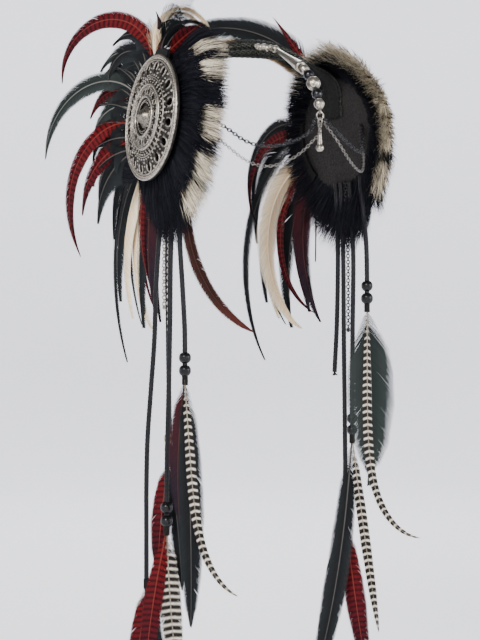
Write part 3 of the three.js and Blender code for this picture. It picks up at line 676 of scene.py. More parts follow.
# Tints of a vane. t: share of the way along the shaft, mm: distance along it, u: share of the way out.
def tint_red(t, mm, u):
    base = blend((0.155, 0.007, 0.008), (0.05, 0.003, 0.008), np.clip(t * 1.4 - 0.1, 0, 1))
    return blend(base, (0.01, 0.002, 0.003), 0.9 * bars(mm - 1.5 * u, 4.4, 0.42))


def tint_black(t, mm, u):
    return blend((0.007, 0.008, 0.009), (0.02, 0.024, 0.026), np.clip(u - 0.3, 0, 1))


# Green-black feathers: partly their own dark green, and made lighter than the black ones as painted sheen
def tint_green_sheen(t, mm, u):
    return blend((0.012, 0.017, 0.016), (0.036, 0.044, 0.041), np.clip(u - 0.1, 0, 1))


def tint_cream(t, mm, u):
    base = blend((0.8, 0.56, 0.3), (0.95, 0.84, 0.64), np.clip(u * 1.1, 0, 1))
    return blend((0.45, 0.24, 0.1), base, np.clip(t * 5, 0, 1))


def tint_brown(t, mm, u):
    base = blend((0.018, 0.006, 0.005), (0.042, 0.014, 0.01), np.clip(u, 0, 1))
    return blend(base, (0.1, 0.02, 0.014), np.clip(t * 3 - 2.1, 0, 1))


def tint_tan(t, mm, u):
    return blend((0.1, 0.06, 0.025), (0.3, 0.19, 0.09), np.clip(u, 0, 1))


def tint_maroon(t, mm, u):
    return blend((0.045, 0.007, 0.009), (0.014, 0.008, 0.014), np.clip(t * 1.6 - 0.2, 0, 1))


def tint_grizzly(t, mm, u):
    return blend((0.74, 0.66, 0.54), (0.014, 0.012, 0.011), bars(mm - 1.5 * u, 5.4, 0.7))


TINTS = dict(red=tint_red, black=tint_black, green=tint_green_sheen, cream=tint_cream, brown=tint_brown,
             tan=tint_tan, maroon=tint_maroon, grizzly=tint_grizzly)
SHAFTS = dict(red=(0.16, 0.025, 0.018), black=(0.07, 0.065, 0.06), green=(0.16, 0.155, 0.14),
              cream=(0.9, 0.82, 0.66), brown=(0.06, 0.022, 0.016), tan=(0.3, 0.2, 0.1),
              maroon=(0.06, 0.022, 0.018), grizzly=(0.3, 0.26, 0.2))


def vane_groups(rng, t, length, size):
    """Which group each barb belongs to: barbs of a group lie together, and the vane parts between."""
    edges = np.cumsum(rng.uniform(0.6, 1.6, int(length / size) + 2) * size) / length
    return np.searchsorted(edges, t)


def barb_row(rng, line, width, outline, ragged, group_size, fluff):
    """A row of barbs: where each starts, its slope, its reach from the shaft and how downy it is."""
    length = line["length"]
    count = int(length * 0.95 / BARB_SPACING)
    t = np.linspace(0.03, 0.99, count) + rng.normal(0, 0.1 * BARB_SPACING / length, count)
    group = vane_groups(rng, t, length, group_size)
    sway = rng.normal(0, 1, group.max() + 1)[group]
    shorter = np.abs(rng.normal(0, 1, group.max() + 1))[group]
    slope = np.radians(BARB_SLANT + sway)
    reach = np.interp(t, outline[:, 0], outline[:, 1]) * width / 2
    tip = np.clip(t + reach / np.tan(slope) / length, 0, 1)
    reach = np.interp(tip, outline[:, 0], outline[:, 1]) * width / 2
    reach = reach * (1 - ragged * shorter - rng.uniform(0, 0.04, count))
    down = np.clip((0.16 - t) / 0.08, 0, 1)
    reach = reach + down * rng.uniform(0, fluff, count) * width / 2
    return t, slope, reach, down


def add_feather(pool, line, width, kind, rng, outline=SABRE, ragged=0.03, group_size=24, fluff=0.25):
    """A feather: a tapered shaft and two rows of barbs that lie on each other and part in places."""
    length = line["length"]
    u = np.linspace(0, 1, BARB_STEPS.get(kind, PLAIN_BARB_STEPS))[None]
    for sign in (-1, 1):
        t, slope, reach, down = barb_row(rng, line, width, outline, ragged, group_size, fluff)
        at = np.clip(t[:, None] + (reach / np.tan(slope) / length)[:, None] * u ** 1.15, 0, 1)
        across = reach[:, None] * u
        lift = VANE_CAMBER * width / 2 * u ** 2 + (down * rng.normal(0, 1.6, len(t)))[:, None] * u
        place, along, side, face = (sample(line, key, at) for key in ("place", "along", "side", "face"))
        centre = place + sign * side * across[..., None] - face * lift[..., None]
        wide = BARB_SPACING * (1.7 - 0.75 * u) * (1 - 0.6 * down[:, None]) / 2
        wide[:, -1] *= 0.45
        tilt = 0.1 * (1 - u) + 0.02
        half = along * wide[..., None] + face * tilt[..., None]
        tint = TINTS[kind](at, at * length, np.broadcast_to(u, at.shape))
        add_ribbons(pool, centre, half, tint * rng.uniform(0.85, 1.12, (len(t), 1, 1)), sign > 0)
    shaft = line["place"][::5]
    add_tube(pool, shaft, np.linspace(0.75, 0.16, len(shaft)) * min(1, 0.5 + width / 40), 5, SHAFTS[kind])


FEATHER_COLUMNS = ("kind", "angle", "out", "start", "turn", "ease", "length", "width")


def feather_rows(*rows, **shared):
    """Feathers as dictionaries, from rows in the order of FEATHER_COLUMNS."""
    return [dict(zip(FEATHER_COLUMNS, row), **shared) for row in rows]


# Feathers of a plume. angle: round the pad, 0 to the back and 90 up. out: how far the feather leans out
# of the pad. start: its heading at the root, 0 to the back and 90 up. turn: how far that changes along
# the shaft, late where ease is high.
FAN_FEATHERS = feather_rows(
    ("red", 70, 38, 100, -195, 0.81, 130, 15),
    ("black", 56, 24, 112, -205, 0.7, 64, 20),
    ("green", 28, 38, 69, -157, 0.6, 122, 17),
    ("black", 18, 22, 30, -142, 1.1, 54, 22),
    ("red", 2, 34, 17, -136, 0.65, 142, 14),
    ("black", -20, 18, -7, -94, 1.1, 66, 20),
)
NAPE_FEATHERS = feather_rows(
    ("black", 10, -5, 26, -158, 1, 142, 13),
    ("red", 0, -7, 17, -125, 1.1, 114, 12),
    ("black", -9, -4, -3, -127, 0.8, 232, 16),
    ("green", -20, -6, 4, -138, 0.65, 178, 12),
    ("cream", -29, -8, -4, -150, 0.8, 184, 30),
    ("red", -38, -10, -20, -140, 0.9, 156, 11),
    ("maroon", -46, -12, -62, -62, 0.9, 130, 24),
)
# Short broad feathers that fill the fan between the long ones
FAN_FILLERS = feather_rows(
    ("black", 66, 30, 122, -170, 0.8, 56, 30),
    ("green", 50, 26, 98, -160, 0.8, 60, 32),
    ("black", 38, 24, 74, -140, 0.9, 58, 32),
    ("red", 24, 22, 50, -120, 0.9, 60, 18),
    ("green", 14, 26, 34, -120, 0.9, 56, 32),
    ("black", 2, 24, 20, -110, 1, 58, 30),
    ("black", -10, 20, 4, -92, 1, 64, 30),
    ("red", -16, 24, -6, -84, 1, 84, 17),
    ("black", -28, 18, -18, -72, 1, 72, 28),
)
# Two that stand up at the top of the near fan alone
STANDING_FILLERS = feather_rows(
    ("maroon", 82, 24, 112, -46, 1, 36, 11),
    ("maroon", 79, 30, 128, -70, 1, 34, 12),
)
# Small ones that close the gap along the medallion's rear edge
RIM_FILLERS = feather_rows(*[("black", a, 30, a + 22, -40, 1, 34, 28) for a in range(-24, 64, 12)],
                           outline=OVAL)
# Broad feathers that fill the nape in the same way
NAPE_FILLERS = feather_rows(
    ("black", 5, -2, 26, -128, 0.9, 118, 26),
    ("black", -6, 0, 10, -112, 0.9, 128, 28),
    ("red", -24, 8, -58, -66, 1, 124, 17),
    ("black", -24, 0, -16, -90, 0.9, 150, 32),
    ("cream", -33, -2, -20, -104, 1, 156, 26),
    ("black", -42, -4, -46, -62, 0.9, 140, 34),
    ("maroon", -46, 2, -66, -44, 1, 118, 30),
)
DOWNY_RIBBON = dict(ribbon=True, fluff=0.9)
CREST_FEATHERS = [
    *feather_rows(("cream", 80, -78, 110, -194, 1.0, 108, 18), ragged=0.12, group_size=7, **DOWNY_RIBBON),
    *feather_rows(("cream", 82, -74, 106, -190, 1.0, 100, 14), ragged=0.14, group_size=6, **DOWNY_RIBBON),
    *feather_rows(
        ("black", 92, -88, 88, -140, 1.1, 64, 52),
        ("black", 100, -84, 74, -110, 1.1, 56, 40),
        ("red", 104, -88, 46, -12, 1, 42, 15),
        outline=OVAL),
]
FAR_CREST_FEATHERS = feather_rows(
    ("red", 66, -72, 59, -8, 1, 66, 7),
    ("black", 58, -72, 79, -113, 0.71, 156, 26),
    ("tan", 53, -72, 70, -104, 0.72, 138, 15),
)
CHEEK_FEATHERS = feather_rows(("brown", -128, 215, -96, 72, 1.4, 150, 11), outline=OVAL)

FEATHER_OPTIONS = ("outline", "ragged", "group_size", "fluff")
# The strips that quills are bound to: radius on the pad, and place out of the hide's back
OUTER_STRIP = dict(radius=OUTER_STRIP_RADIUS, seat=PAD_THICK + GAP)
INNER_STRIP = dict(radius=INNER_STRIP_RADIUS, seat=-GAP - STRIP_THICK)
STRIP_TINT = (0.006, 0.006, 0.006)


def add_strip(pool, strip, angles):
    """The strip of hide that a plume's quills are bound to."""
    a = np.radians(np.linspace(min(angles) - STRIP_MARGIN, max(angles) + STRIP_MARGIN, 16))
    half = STRIP_WIDTH / 2
    edges = []
    for r, x in ((-half, 0), (half, 0), (half, STRIP_THICK), (-half, STRIP_THICK)):
        radius = strip["radius"] + r
        edges.append(on_pad(strip["seat"] + x, radius * np.cos(a), radius * np.sin(a)))
    verts = np.stack(edges, 1)
    pool.add(verts, grid_faces(len(a), 4)[:, ::-1], STRIP_TINT)
    pool.add(verts[0], [[0, 1, 2, 3]], STRIP_TINT)
    pool.add(verts[-1], [[3, 2, 1, 0]], STRIP_TINT)


def make_plume(name, node, feathers, strip, slot, seed, right, fillers=()):
    """A strip of hide with its feathers. What fills the gaps between them comes last."""
    rng = np.random.default_rng(seed)
    pool = Pool()
    add_strip(pool, strip, [f["angle"] for f in feathers])
    for f in [*feathers, *fillers]:
        a = math.radians(f["angle"])
        y, z = strip["radius"] * math.cos(a), strip["radius"] * math.sin(a)
        root = on_pad(strip["seat"] + STRIP_THICK / 2, y, z)
        out = math.radians(f["out"])
        across = np.array([math.sin(out), math.cos(out), 0])
        bend = [f[key] for key in ("start", "turn", "ease", "length")]
        line = feather_line(root, across, *bend, ribbon=f.get("ribbon", False))
        options = {key: f[key] for key in FEATHER_OPTIONS if key in f}
        add_feather(pool, line, f["width"], f["kind"], rng, **options)
    if right:
        pool.mirror()
    return pool.make(name, [FEATHER], slot, [node], smooth=False)


def make_plumes():
    for i, side in enumerate(("left", "right")):
        right = side == "right"
        fan = FAN_FEATHERS if right else [dict(FAN_FEATHERS[0], start=70), *FAN_FEATHERS[1:]]
        fillers = [*(STANDING_FILLERS if right else []), *FAN_FILLERS, *RIM_FILLERS]
        make_plume(f"fan_feathers_{side}", f"fan_plume_{side}", fan, OUTER_STRIP, "feather_red",
                   seed=11 + i, right=right, fillers=fillers)
        make_plume(f"nape_feathers_{side}", f"nape_plume_{side}", NAPE_FEATHERS, INNER_STRIP, "feather_black",
                   seed=21 + i, right=right, fillers=NAPE_FILLERS)
    make_plume("crest_feathers_right", "crest_plume_right", CREST_FEATHERS, OUTER_STRIP, "feather_black",
               seed=31, right=True)
    make_plume("crest_feathers_left", "crest_plume_left", FAR_CREST_FEATHERS, INNER_STRIP, "feather_black",
               seed=32, right=False)
    make_plume("cheek_feather", "cheek_feather_right", CHEEK_FEATHERS, INNER_STRIP, "feather_red",
               seed=33, right=True)


make_plumes()


# Feathers that hang from a lace: kind, swing away from straight down, positive towards +X, curl along the
# shaft, how late that comes, length, width, and the way that the vane's face is turned.
DROP_FEATHERS = [
    dict(side="right", lace="front", feathers=[
        ("maroon", -7, 12, 1.4, 110, 16, 24),
        ("black", 3, -4, 1.4, 190, 22, 30),
        ("grizzly", 4, 62, 5, 176, 8, 36)]),
    dict(side="right", lace="middle", slot="feather_red", feathers=[
        ("red", -9, 8, 1.4, 92, 17, 26),
        ("black", 8, -6, 1.4, 104, 15, 34)]),
    dict(side="right", lace="long", feathers=[
        ("grizzly", 2, 6, 1.4, 122, 18, 30),
        ("red", -12, 10, 1.4, 128, 16, 24)]),
    dict(side="right", lace="rear", feathers=[
        ("red", -6, -6, 1.4, 100, 18, 26),
        ("black", 8, 4, 1.4, 90, 16, 34)]),
    dict(side="left", lace="front", feathers=[
        ("green", 4, -8, 1.4, 145, 40, 30),
        ("grizzly", 0, 85, 5, 206, 8, 24)]),
    dict(side="left", lace="middle", feathers=[
        ("black", -4, -14, 1.4, 230, 20, 26),
        ("grizzly", 7, 2, 1.4, 160, 9, 34)]),
    dict(side="left", lace="long", feathers=[
        ("black", -8, -6, 1.4, 118, 20, 26),
        ("red", 7, 3, 1.4, 128, 18, 34)]),
]


def make_drops():
    for seed, row in enumerate(DROP_FEATHERS, 41):
        rng = np.random.default_rng(seed)
        pool = Pool()
        strand = next(s for s in LACES[row["side"]] if s["name"] == row["lace"])
        end = np.array(strand["points"][-1], float)
        for i, (kind, swing, curl, ease, length, width, facing) in enumerate(row["feathers"]):
            a = math.radians(facing)
            across = np.array([math.cos(a), -math.sin(a), 0])
            front = np.array([-math.sin(a), -math.cos(a), 0])
            layer = (i - (len(row["feathers"]) - 1) / 2) * FEATHER_LAYER
            root = end - UP * (GAP + QUILL_LENGTH * 0.6) + front * layer
            line = feather_line(root, across, swing - 90, curl, ease, length)
            add_feather(pool, line, width, kind, rng, outline=OVAL)
        name = f"feather_drop_{row['side']}_{row['lace']}"
        pool.make(f"{name}_vanes", [FEATHER], row.get("slot", "feather_black"), [name], smooth=False)


make_drops()


# Fur pads

# Patches of cream fur: angle round the pad, 0 to the back and 90 up, and half width, in degrees
CREAM_PATCHES = {
    "right": [(119, 7), (142, 9), (184, 10), (212, 9), (233, 9)],
    "left": [(54, 12), (78, 15), (105, 15), (132, 15), (159, 13), (184, 12), (212, 10)],
}
# How far the fur's tips wrap inwards at the top of the pad
FUR_CROWN_WRAP = 15
# Layers of fur. roots: nearest and furthest radius, and lowest and highest place above the hide's back.
# tips: share of the fur's reach, and place above the hide's back, below 0 where it wraps inwards.
# arc: the angles that the layer covers, all of them unless it says.
FUR_LAYERS = [
    dict(count=12500, roots=(44, 53, 0.5, 6.0), tips=(0.82, 1.04, -10.0, 1.0), cream=True),
    dict(count=11500, roots=(30, 50, 7.5, 12.0), tips=(0.68, 0.88, 2.0, 9.0), cream=False),
    dict(count=4000, roots=(40, 51, -0.5, 0.8), tips=(0.76, 0.9, -13.0, -6.0), cream=False),
    dict(count=3600, roots=(47, 52, 11.0, 14.0), tips=(0.98, 1.2, 8.0, 17.0), cream=False, arc=(-60, 62)),
]
LOCK_COUNT = 170
# Shares of the way along a hair, and its half width there
HAIR_STEPS = np.array([0, 0.35, 0.7, 1.0])[None]
HAIR_TAPER = np.array([0.3, 0.27, 0.19, 0.04])[None, :, None]


def fur_reach(angle):
    """Radius that the fur reaches at an angle: shorter at the back, longer at the foot."""
    to_rear = np.clip(np.cos(angle), 0, 1) ** 0.5
    to_foot = np.clip(-np.sin(angle), 0, 1) ** 3
    return FUR_RADIUS + (REAR_FUR_RADIUS - FUR_RADIUS) * to_rear + WISP_LENGTH * to_foot


def make_fur(side, seed):
    rng = np.random.default_rng(seed)
    pool = Pool()
    lock_angles = np.sort(rng.uniform(0, 2 * math.pi, LOCK_COUNT))
    for layer in FUR_LAYERS:
        add_fur_layer(pool, side, layer, lock_angles, rng)
    add_hide(pool)
    if side == "right":
        pool.mirror()
    pool.make(f"fur_{side}", [FUR, HIDE], "fur", [f"fur_pad_{side}"])


def fur_roots(layer, rng):
    """Where a layer's hairs stand: angle, share of the way out, radius and place out of the hide."""
    count = layer["count"]
    near, far, low, high = layer["roots"]
    angle = rng.uniform(*np.radians(layer.get("arc", (0, 360))), count)
    depth = rng.uniform(0, 1, count) ** 0.8
    root_x = high + (low - high) * depth + rng.uniform(0, 1, count)
    return angle, depth, near + (far - near) * depth, root_x


def fur_tips(layer, cream, angle, root_r, lock_angles, rng):
    """Where the hairs end, combed forward over the crown and drawn together into locks."""
    count = layer["count"]
    short, long, inward, outward = layer["tips"]
    share = rng.uniform(short, long, count) * np.where(cream > 0.5, 1, 1.04)
    tip_r = np.maximum(fur_reach(angle) * share, root_r + 8)
    upper = np.clip(np.sin(angle), 0, 1)
    tip_x = rng.uniform(inward, outward, count) - FUR_CROWN_WRAP * upper ** 3
    lock = np.searchsorted(lock_angles, angle + rng.normal(0, 0.015, count)) % len(lock_angles)
    pull = (lock_angles[lock] - angle + math.pi) % (2 * math.pi) - math.pi
    comb = 0.24 * upper * np.clip(-np.cos(angle) + 0.4, 0, 1)
    return angle + 0.65 * pull + comb + rng.normal(0, 0.035, count), tip_r, tip_x


def add_fur_layer(pool, side, layer, lock_angles, rng):
    """Flat tapered hairs, each curved from its root over a bend to its tip."""
    angle, depth, root_r, root_x = fur_roots(layer, rng)
    cream = cream_share(side, angle, depth, rng) if layer["cream"] else np.zeros(len(angle))
    tip_angle, tip_r, tip_x = fur_tips(layer, cream, angle, root_r, lock_angles, rng)
    wraps_inwards = layer["tips"][3] < 0
    bend_r = root_r + 0.45 * (tip_r - root_r)
    bend_x = root_x - 3 if wraps_inwards else np.maximum(root_x, tip_x) + 4.5
    s = HAIR_STEPS
    start, bend, end = (1 - s) ** 2, 2 * s * (1 - s), s ** 2
    r = start * root_r[:, None] + bend * bend_r[:, None] + end * tip_r[:, None]
    x = start * root_x[:, None] + bend * bend_x[:, None] + end * tip_x[:, None]
    a = angle[:, None] + (tip_angle - angle)[:, None] * s
    centre = on_pad(x, r * np.cos(a), r * np.sin(a) - 4 * s ** 2)
    along = unit(np.gradient(centre, axis=1))
    spin = unit(rng.normal(0, 1, (len(angle), 1, 3)) + 1.2 * PAD_OUT)
    half = unit(np.cross(along, spin)) * HAIR_TAPER * rng.uniform(0.7, 1.25, (len(angle), 1, 1))
    add_ribbons(pool, centre, half, fur_tints(rng, cream, s))


def cream_share(side, angle, depth, rng):
    """1 for the hairs that are cream, 0 for the black ones."""
    degrees = np.degrees(angle) % 360
    chance = np.zeros(len(angle))
    for middle, half in CREAM_PATCHES[side]:
        away = np.abs((degrees - middle + 180) % 360 - 180)
        chance = np.maximum(chance, np.clip((half - away) / 3 + 0.5, 0, 1))
    return (rng.uniform(0, 1, len(angle)) < chance * (0.75 + 0.22 * depth)).astype(float)


def fur_tints(rng, cream, s):
    """Black hair, and cream hair that is black at its root and often at its tip."""
    count = len(cream)
    dark = np.array([0.008, 0.008, 0.01])[None] * rng.uniform(0.5, 2.0, (count, 1))
    dark = dark + np.array([0, 0.001, 0.004]) * rng.uniform(0, 1, (count, 1))
    light = np.array([0.95, 0.82, 0.6])[None] * rng.uniform(0.8, 1.05, (count, 1))
    light = light + np.array([0.05, 0.09, 0.12]) * rng.uniform(0, 1, (count, 1))
    black_tip = rng.uniform(0, 1, count) < 0.25
    pale = np.clip((s - 0.15) / 0.25, 0, 1) * cream[:, None]
    pale = pale * np.where(black_tip[:, None], np.clip((0.98 - s) / 0.3, 0, 1), 1)
    return dark[:, None] * (1 - pale[..., None]) + light[:, None] * pale[..., None]


def add_hide(pool):
    """The flat hide behind the fur, with a soft edge and a padded face."""
    profile = np.array([
        (0.01, 0), (HIDE_RADIUS - 1.2, 0), (HIDE_RADIUS, 0.7), (HIDE_RADIUS - 0.4, HIDE_THICK),
        (HIDE_RADIUS - 6, 5.5), (38, 9.5), (25, 12.5), (0.01, PAD_THICK - 1),
    ])
    radius, height = profile[:, 0][:, None], profile[:, 1][:, None]
    a = around(64)
    verts = on_pad(height, radius * np.cos(a), radius * np.sin(a))
    pool.add(verts, grid_faces(len(profile), 64)[:, ::-1], (0.012, 0.012, 0.014), 1)


make_fur("left", 51)
make_fur("right", 52)


# Medallions

MEDALLION_RADIUS = 49
PLATE_THICK = 1.5
MEDALLION_CROWN = 7
PETAL_COUNT = 16
PETAL_RADIUS = 38.5
PETAL_BEAD_RADIUS = 42.6
EYE_COUNT = 12
EYE_RADIUS = 19.3
DISH_RADIUS = 14.6
RIM_BEAD_COUNT = 120
RIM_BEAD_RADIUS = 46.35
FACE_WAY = (0, 0, 1)
# Rings of wire on the plate: radius, wire and rise above its face
PLATE_RINGS = [(48.1, 0.95, 0.8), (44.6, 0.5, 0.25), (31.2, 0.4, 0.1), (25.4, 0.85, 0.4),
               (22.6, 0.4, 0.15), (15.6, 0.95, 0.5), (13.2, 0.35, -0.4)]
# Rows of beads inside the rim: how many, their radius on the plate, their size and their offset in steps
PLATE_BEADS = [(48, 33.0, 0.85, 0), (16, 35.4, 1.0, 0), (16, 38.3, 0.75, 0), (40, 29.4, 0.95, 0.5),
               (36, 27.4, 0.8, 0), (60, 24.0, 0.6, 0), (24, 21.6, 0.6, 0.5), (36, 17.3, 0.7, 0),
               (24, 11.6, 0.65, 0)]


def curve_loop(data, points):
    spline = data.splines.new("POLY")
    spline.points.add(len(points) - 1)
    for p, (x, y) in zip(spline.points, points):
        p.co = (x * MM, y * MM, 0, 1)
    spline.use_cyclic_u = True


def circle(radius, steps, centre=(0, 0)):
    a = around(steps)
    return np.column_stack([centre[0] + radius * np.cos(a), centre[1] + radius * np.sin(a)])


def turn_matrix(a):
    """Turns a flat shape that points along Y to an angle round the medallion."""
    return np.array([[math.cos(a), -math.sin(a)], [math.sin(a), math.cos(a)]])


def tear():
    """An arched opening, pointed towards the middle, in its own place with Y outwards."""
    a = np.linspace(-0.15 * math.pi, 1.15 * math.pi, 15)
    arch = np.column_stack([2.7 * np.cos(a), 1.4 + 3.0 * np.sin(a)])
    return np.vstack([arch, [[-1.2, -3.4], [0, -4.9], [1.2, -3.4]]])


def plate_points():
    """Vertices and faces of the pierced plate, made from an outline with holes."""
    data = bpy.data.curves.new("plate_outline", "CURVE")
    data.dimensions = "2D"
    data.fill_mode = "BOTH"
    data.extrude = (PLATE_THICK / 2 - 0.15) * MM
    data.bevel_depth = 0.15 * MM
    data.bevel_resolution = 1
    curve_loop(data, circle(MEDALLION_RADIUS - 0.4, 128))
    for i in range(PETAL_COUNT):
        a = 2 * math.pi * (i + 0.5) / PETAL_COUNT
        curve_loop(data, (tear() + [0, PETAL_RADIUS]) @ turn_matrix(a).T)
    for i in range(EYE_COUNT):
        a = 2 * math.pi * i / EYE_COUNT
        curve_loop(data, circle(1.9, 14, (-EYE_RADIUS * math.sin(a), EYE_RADIUS * math.cos(a))))
    curve_loop(data, circle(DISH_RADIUS, 48))
    source = bpy.data.objects.new("plate_outline", data)
    bpy.context.scene.collection.objects.link(source)
    mesh = bpy.data.meshes.new_from_object(source.evaluated_get(bpy.context.evaluated_depsgraph_get()))
    verts = np.array([v.co[:] for v in mesh.vertices]) / MM
    faces = [list(p.vertices) for p in mesh.polygons]
    bpy.data.objects.remove(source)
    bpy.data.curves.remove(data)
    bpy.data.meshes.remove(mesh)
    return verts, faces


def ring_of(count, radius, offset=0.0):
    """Places round the medallion, with the angle of each."""
    for i in range(count):
        a = 2 * math.pi * (i + offset) / count
        yield a, np.array([-radius * math.sin(a), radius * math.cos(a), 0])


def add_arch(pool, a, scale, top, wire, tint):
    """A wire arch round one tear-shaped opening."""
    b = np.linspace(-0.22 * math.pi, 1.22 * math.pi, 17)
    arch = np.column_stack([2.7 * scale * np.cos(b), 1.2 + 3.0 * scale * np.sin(b)])
    flat = (arch + [0, PETAL_RADIUS]) @ turn_matrix(a).T
    add_tube(pool, np.column_stack([flat, np.full(len(flat), top)]), wire, 6, tint)


def add_plate(pool):
    """The pierced plate, whose faces have four or three corners."""
    verts, faces = plate_points()
    quads = [f for f in faces if len(f) == 4]
    triangles = [f for f in faces if len(f) == 3]
    first = pool.count
    pool.add(verts + [0, 0, PLATE_THICK / 2], quads, (1, 1, 1), 1)
    pool.faces.extend([[i + first for i in f] for f in triangles])
    pool.marks.extend([1] * len(triangles))


def add_relief(pool):
    """Rings, arches of wire and rows of beads on the plate's face."""
    top = PLATE_THICK
    for radius, wire, rise in PLATE_RINGS:
        add_ring(pool, radius, wire, (0, 0, top + rise), FACE_WAY, 120, 8)
    for _, place in ring_of(RIM_BEAD_COUNT, RIM_BEAD_RADIUS):
        add_ball(pool, place + [0, 0, top + 0.35], 0.85, 0.9)
    for a, _ in ring_of(PETAL_COUNT, PETAL_RADIUS, 0.5):
        add_arch(pool, a, 1.3, top + 0.25, 0.55, (1, 1, 1))
        add_arch(pool, a, 1.72, top + 0.15, 0.4, (0.28, 0.27, 0.26))
    for _, place in ring_of(PETAL_COUNT, PETAL_BEAD_RADIUS):
        add_ball(pool, place + [0, 0, top + 0.1], 1.15, 0.8)
    for count, radius, size, offset in PLATE_BEADS:
        for _, place in ring_of(count, radius, offset):
            add_ball(pool, place + [0, 0, top + 0.15], size, 0.8)
    for _, place in ring_of(EYE_COUNT, EYE_RADIUS):
        add_ring(pool, 2.15, 0.38, place + [0, 0, top + 0.1], FACE_WAY, 18, 6)


def medallion_pool():
    """The pierced plate, its relief and the dark dish in its middle."""
    pool = Pool()
    add_plate(pool)
    add_relief(pool)
    dish = [(0.02, -0.6), (DISH_RADIUS, -0.6), (DISH_RADIUS + 0.2, 1.3)]
    add_turned(pool, dish, 64, (0, 0, 0), tint=(0.35, 0.33, 0.32), mark=1)
    return pool


def crown(pool):
    """Raises the medallion's middle, so that it is a shallow dome."""
    for v in pool.verts:
        reach = np.minimum(1, np.hypot(v[:, 0], v[:, 1]) / MEDALLION_RADIUS)
        v[:, 2] += MEDALLION_CROWN * (1 - reach ** 2)
    return pool


def seat_on_pad(pool, x):
    """Moves a medallion, whose face looks along Z, to its place on the pad."""
    pool.verts = [on_pad(x + v[:, 2], v[:, 0], v[:, 1]) for v in pool.verts]
    return pool


def stud_pool():
    """The dome in the middle: a smooth boss on a ribbed collar."""
    pool = Pool()
    profile = [(0.02, 0), (8.6, 0), (8.8, 0.3), (8.4, 0.6), (7.0, 0.7), (6.3, 1.4), (5.7, 3.0),
               (4.4, 4.7), (2.6, 5.7), (1.2, 6.1), (0.02, 6.15)]
    add_turned(pool, profile, 40, (0, 0, 0), tint=(0.5, 0.49, 0.48))
    for _, place in ring_of(26, 7.8):
        add_ball(pool, place + [0, 0, 0.7], 0.5, 0.8, tint=(0.3, 0.3, 0.3))
    return pool


def make_medallions():
    for side in ("left", "right"):
        pool = seat_on_pad(crown(medallion_pool()), MEDALLION_SEAT)
        stud = seat_on_pad(crown(stud_pool()), MEDALLION_SEAT)
        for gathered in (pool, stud):
            if side == "right":
                gathered.mirror()
        pool.make(f"medallion_{side}_pierced", [SILVER, OXIDE], "antique_silver", [f"medallion_{side}"])
        stud.make(f"medallion_{side}_dome", [SILVER], "antique_silver", [f"medallion_stud_{side}"])


make_medallions()


# Band of woven lace

BAND_WIDTH = 23
BAND_THICK = 2
BAND_TILT = math.radians(48)
BAND_RISE = 35
BAND_END = 14
# Waving threads: place across the band, swing, and phase as a share of a wave
LATTICE = [(-9.2, 1.6, 0.0), (-9.2, 1.6, 0.5), (-4.6, 2.9, 0.0), (-4.6, 2.9, 0.5),
           (1.2, 2.9, 0.25), (1.2, 2.9, 0.75), (6.8, 2.7, 0.0), (6.8, 2.7, 0.5)]
LATTICE_WAVE = 9
LONG_THREADS = (-10.9, -7.4, -1.8, 4.0, 9.6)
LONG_WAVE = 3.1
LOOP_ROWS = (-4.6, 4.6)
# Tint of the loops, about three times as bright as the other threads: painted highlights on the lace
LOOP_HIGHLIGHT_TINT = (3.2, 3.2, 3.0)


def band_stations():
    """Middle line, crosswise direction and outward normal of the band from one end to the other."""
    seat = on_pad(-GAP - BAND_THICK / 2, 0, PAD_DROP - BAND_RISE)
    end = on_pad(-GAP - BAND_THICK / 2, 0, PAD_DROP - BAND_RISE - BAND_END)
    rows = []
    # A quarter of an ellipse, from the crown down to the pad
    for t in np.linspace(0, math.pi / 2, 60):
        along = unit([seat[0] * math.cos(t), 0, seat[2] * math.sin(t)])
        tilt = BAND_TILT * math.cos(t)
        width = np.array([0, math.cos(tilt), math.sin(tilt)])
        width = width * (1 - math.sin(t) ** 2) + PAD_REAR * math.sin(t) ** 2
        width = unit(width - along * np.dot(width, along))
        normal = unit(np.cross(along, width))
        middle = np.array([seat[0] * math.sin(t), seat[1] * (1 - math.cos(t)), seat[2] * (1 - math.cos(t))])
        rows.append((middle + normal * BAND_THICK / 2 * math.cos(t), width, normal))
    # The straight end behind the pad
    for share in np.linspace(0, 1, 10)[1:]:
        rows.append((seat + (end - seat) * share, PAD_REAR, PAD_OUT))
    mirrored = [(m * RIGHT_SIDE, w * RIGHT_SIDE, n * RIGHT_SIDE) for m, w, n in rows[1:]]
    rows = mirrored[::-1] + rows
    return [np.array(column) for column in zip(*rows)]


BAND_LINE, BAND_ACROSS, BAND_NORMAL = band_stations()
BAND_RUN = np.concatenate([[0], np.cumsum(np.linalg.norm(np.diff(BAND_LINE, axis=0), axis=1))])


def on_band(along, across, rise):
    """Places on the band: distance along it, across it and above its middle layer."""
    parts = []
    for table in (BAND_LINE, BAND_ACROSS, BAND_NORMAL):
        parts.append(np.column_stack([np.interp(along, BAND_RUN, table[:, k]) for k in range(3)]))
    across = np.broadcast_to(np.asarray(across, float), np.shape(along))
    rise = np.broadcast_to(np.asarray(rise, float), np.shape(along))
    return parts[0] + parts[1] * across[:, None] + parts[2] * rise[:, None]


def add_threads(pool, s):
    """Threads that wave over and under each other, and straight ones between them."""
    for middle, swing, shift in LATTICE:
        phase = 2 * math.pi * (s / LATTICE_WAVE + shift)
        add_tube(pool, on_band(s, middle + swing * np.sin(phase), 0.35 * np.cos(phase)), 0.5, 5)
    phase = 2 * math.pi * s / LONG_WAVE
    for middle in LONG_THREADS:
        add_tube(pool, on_band(s, middle + 0.25 * np.sin(phase), 0.4 + 0.2 * np.cos(phase)), 0.55, 5)


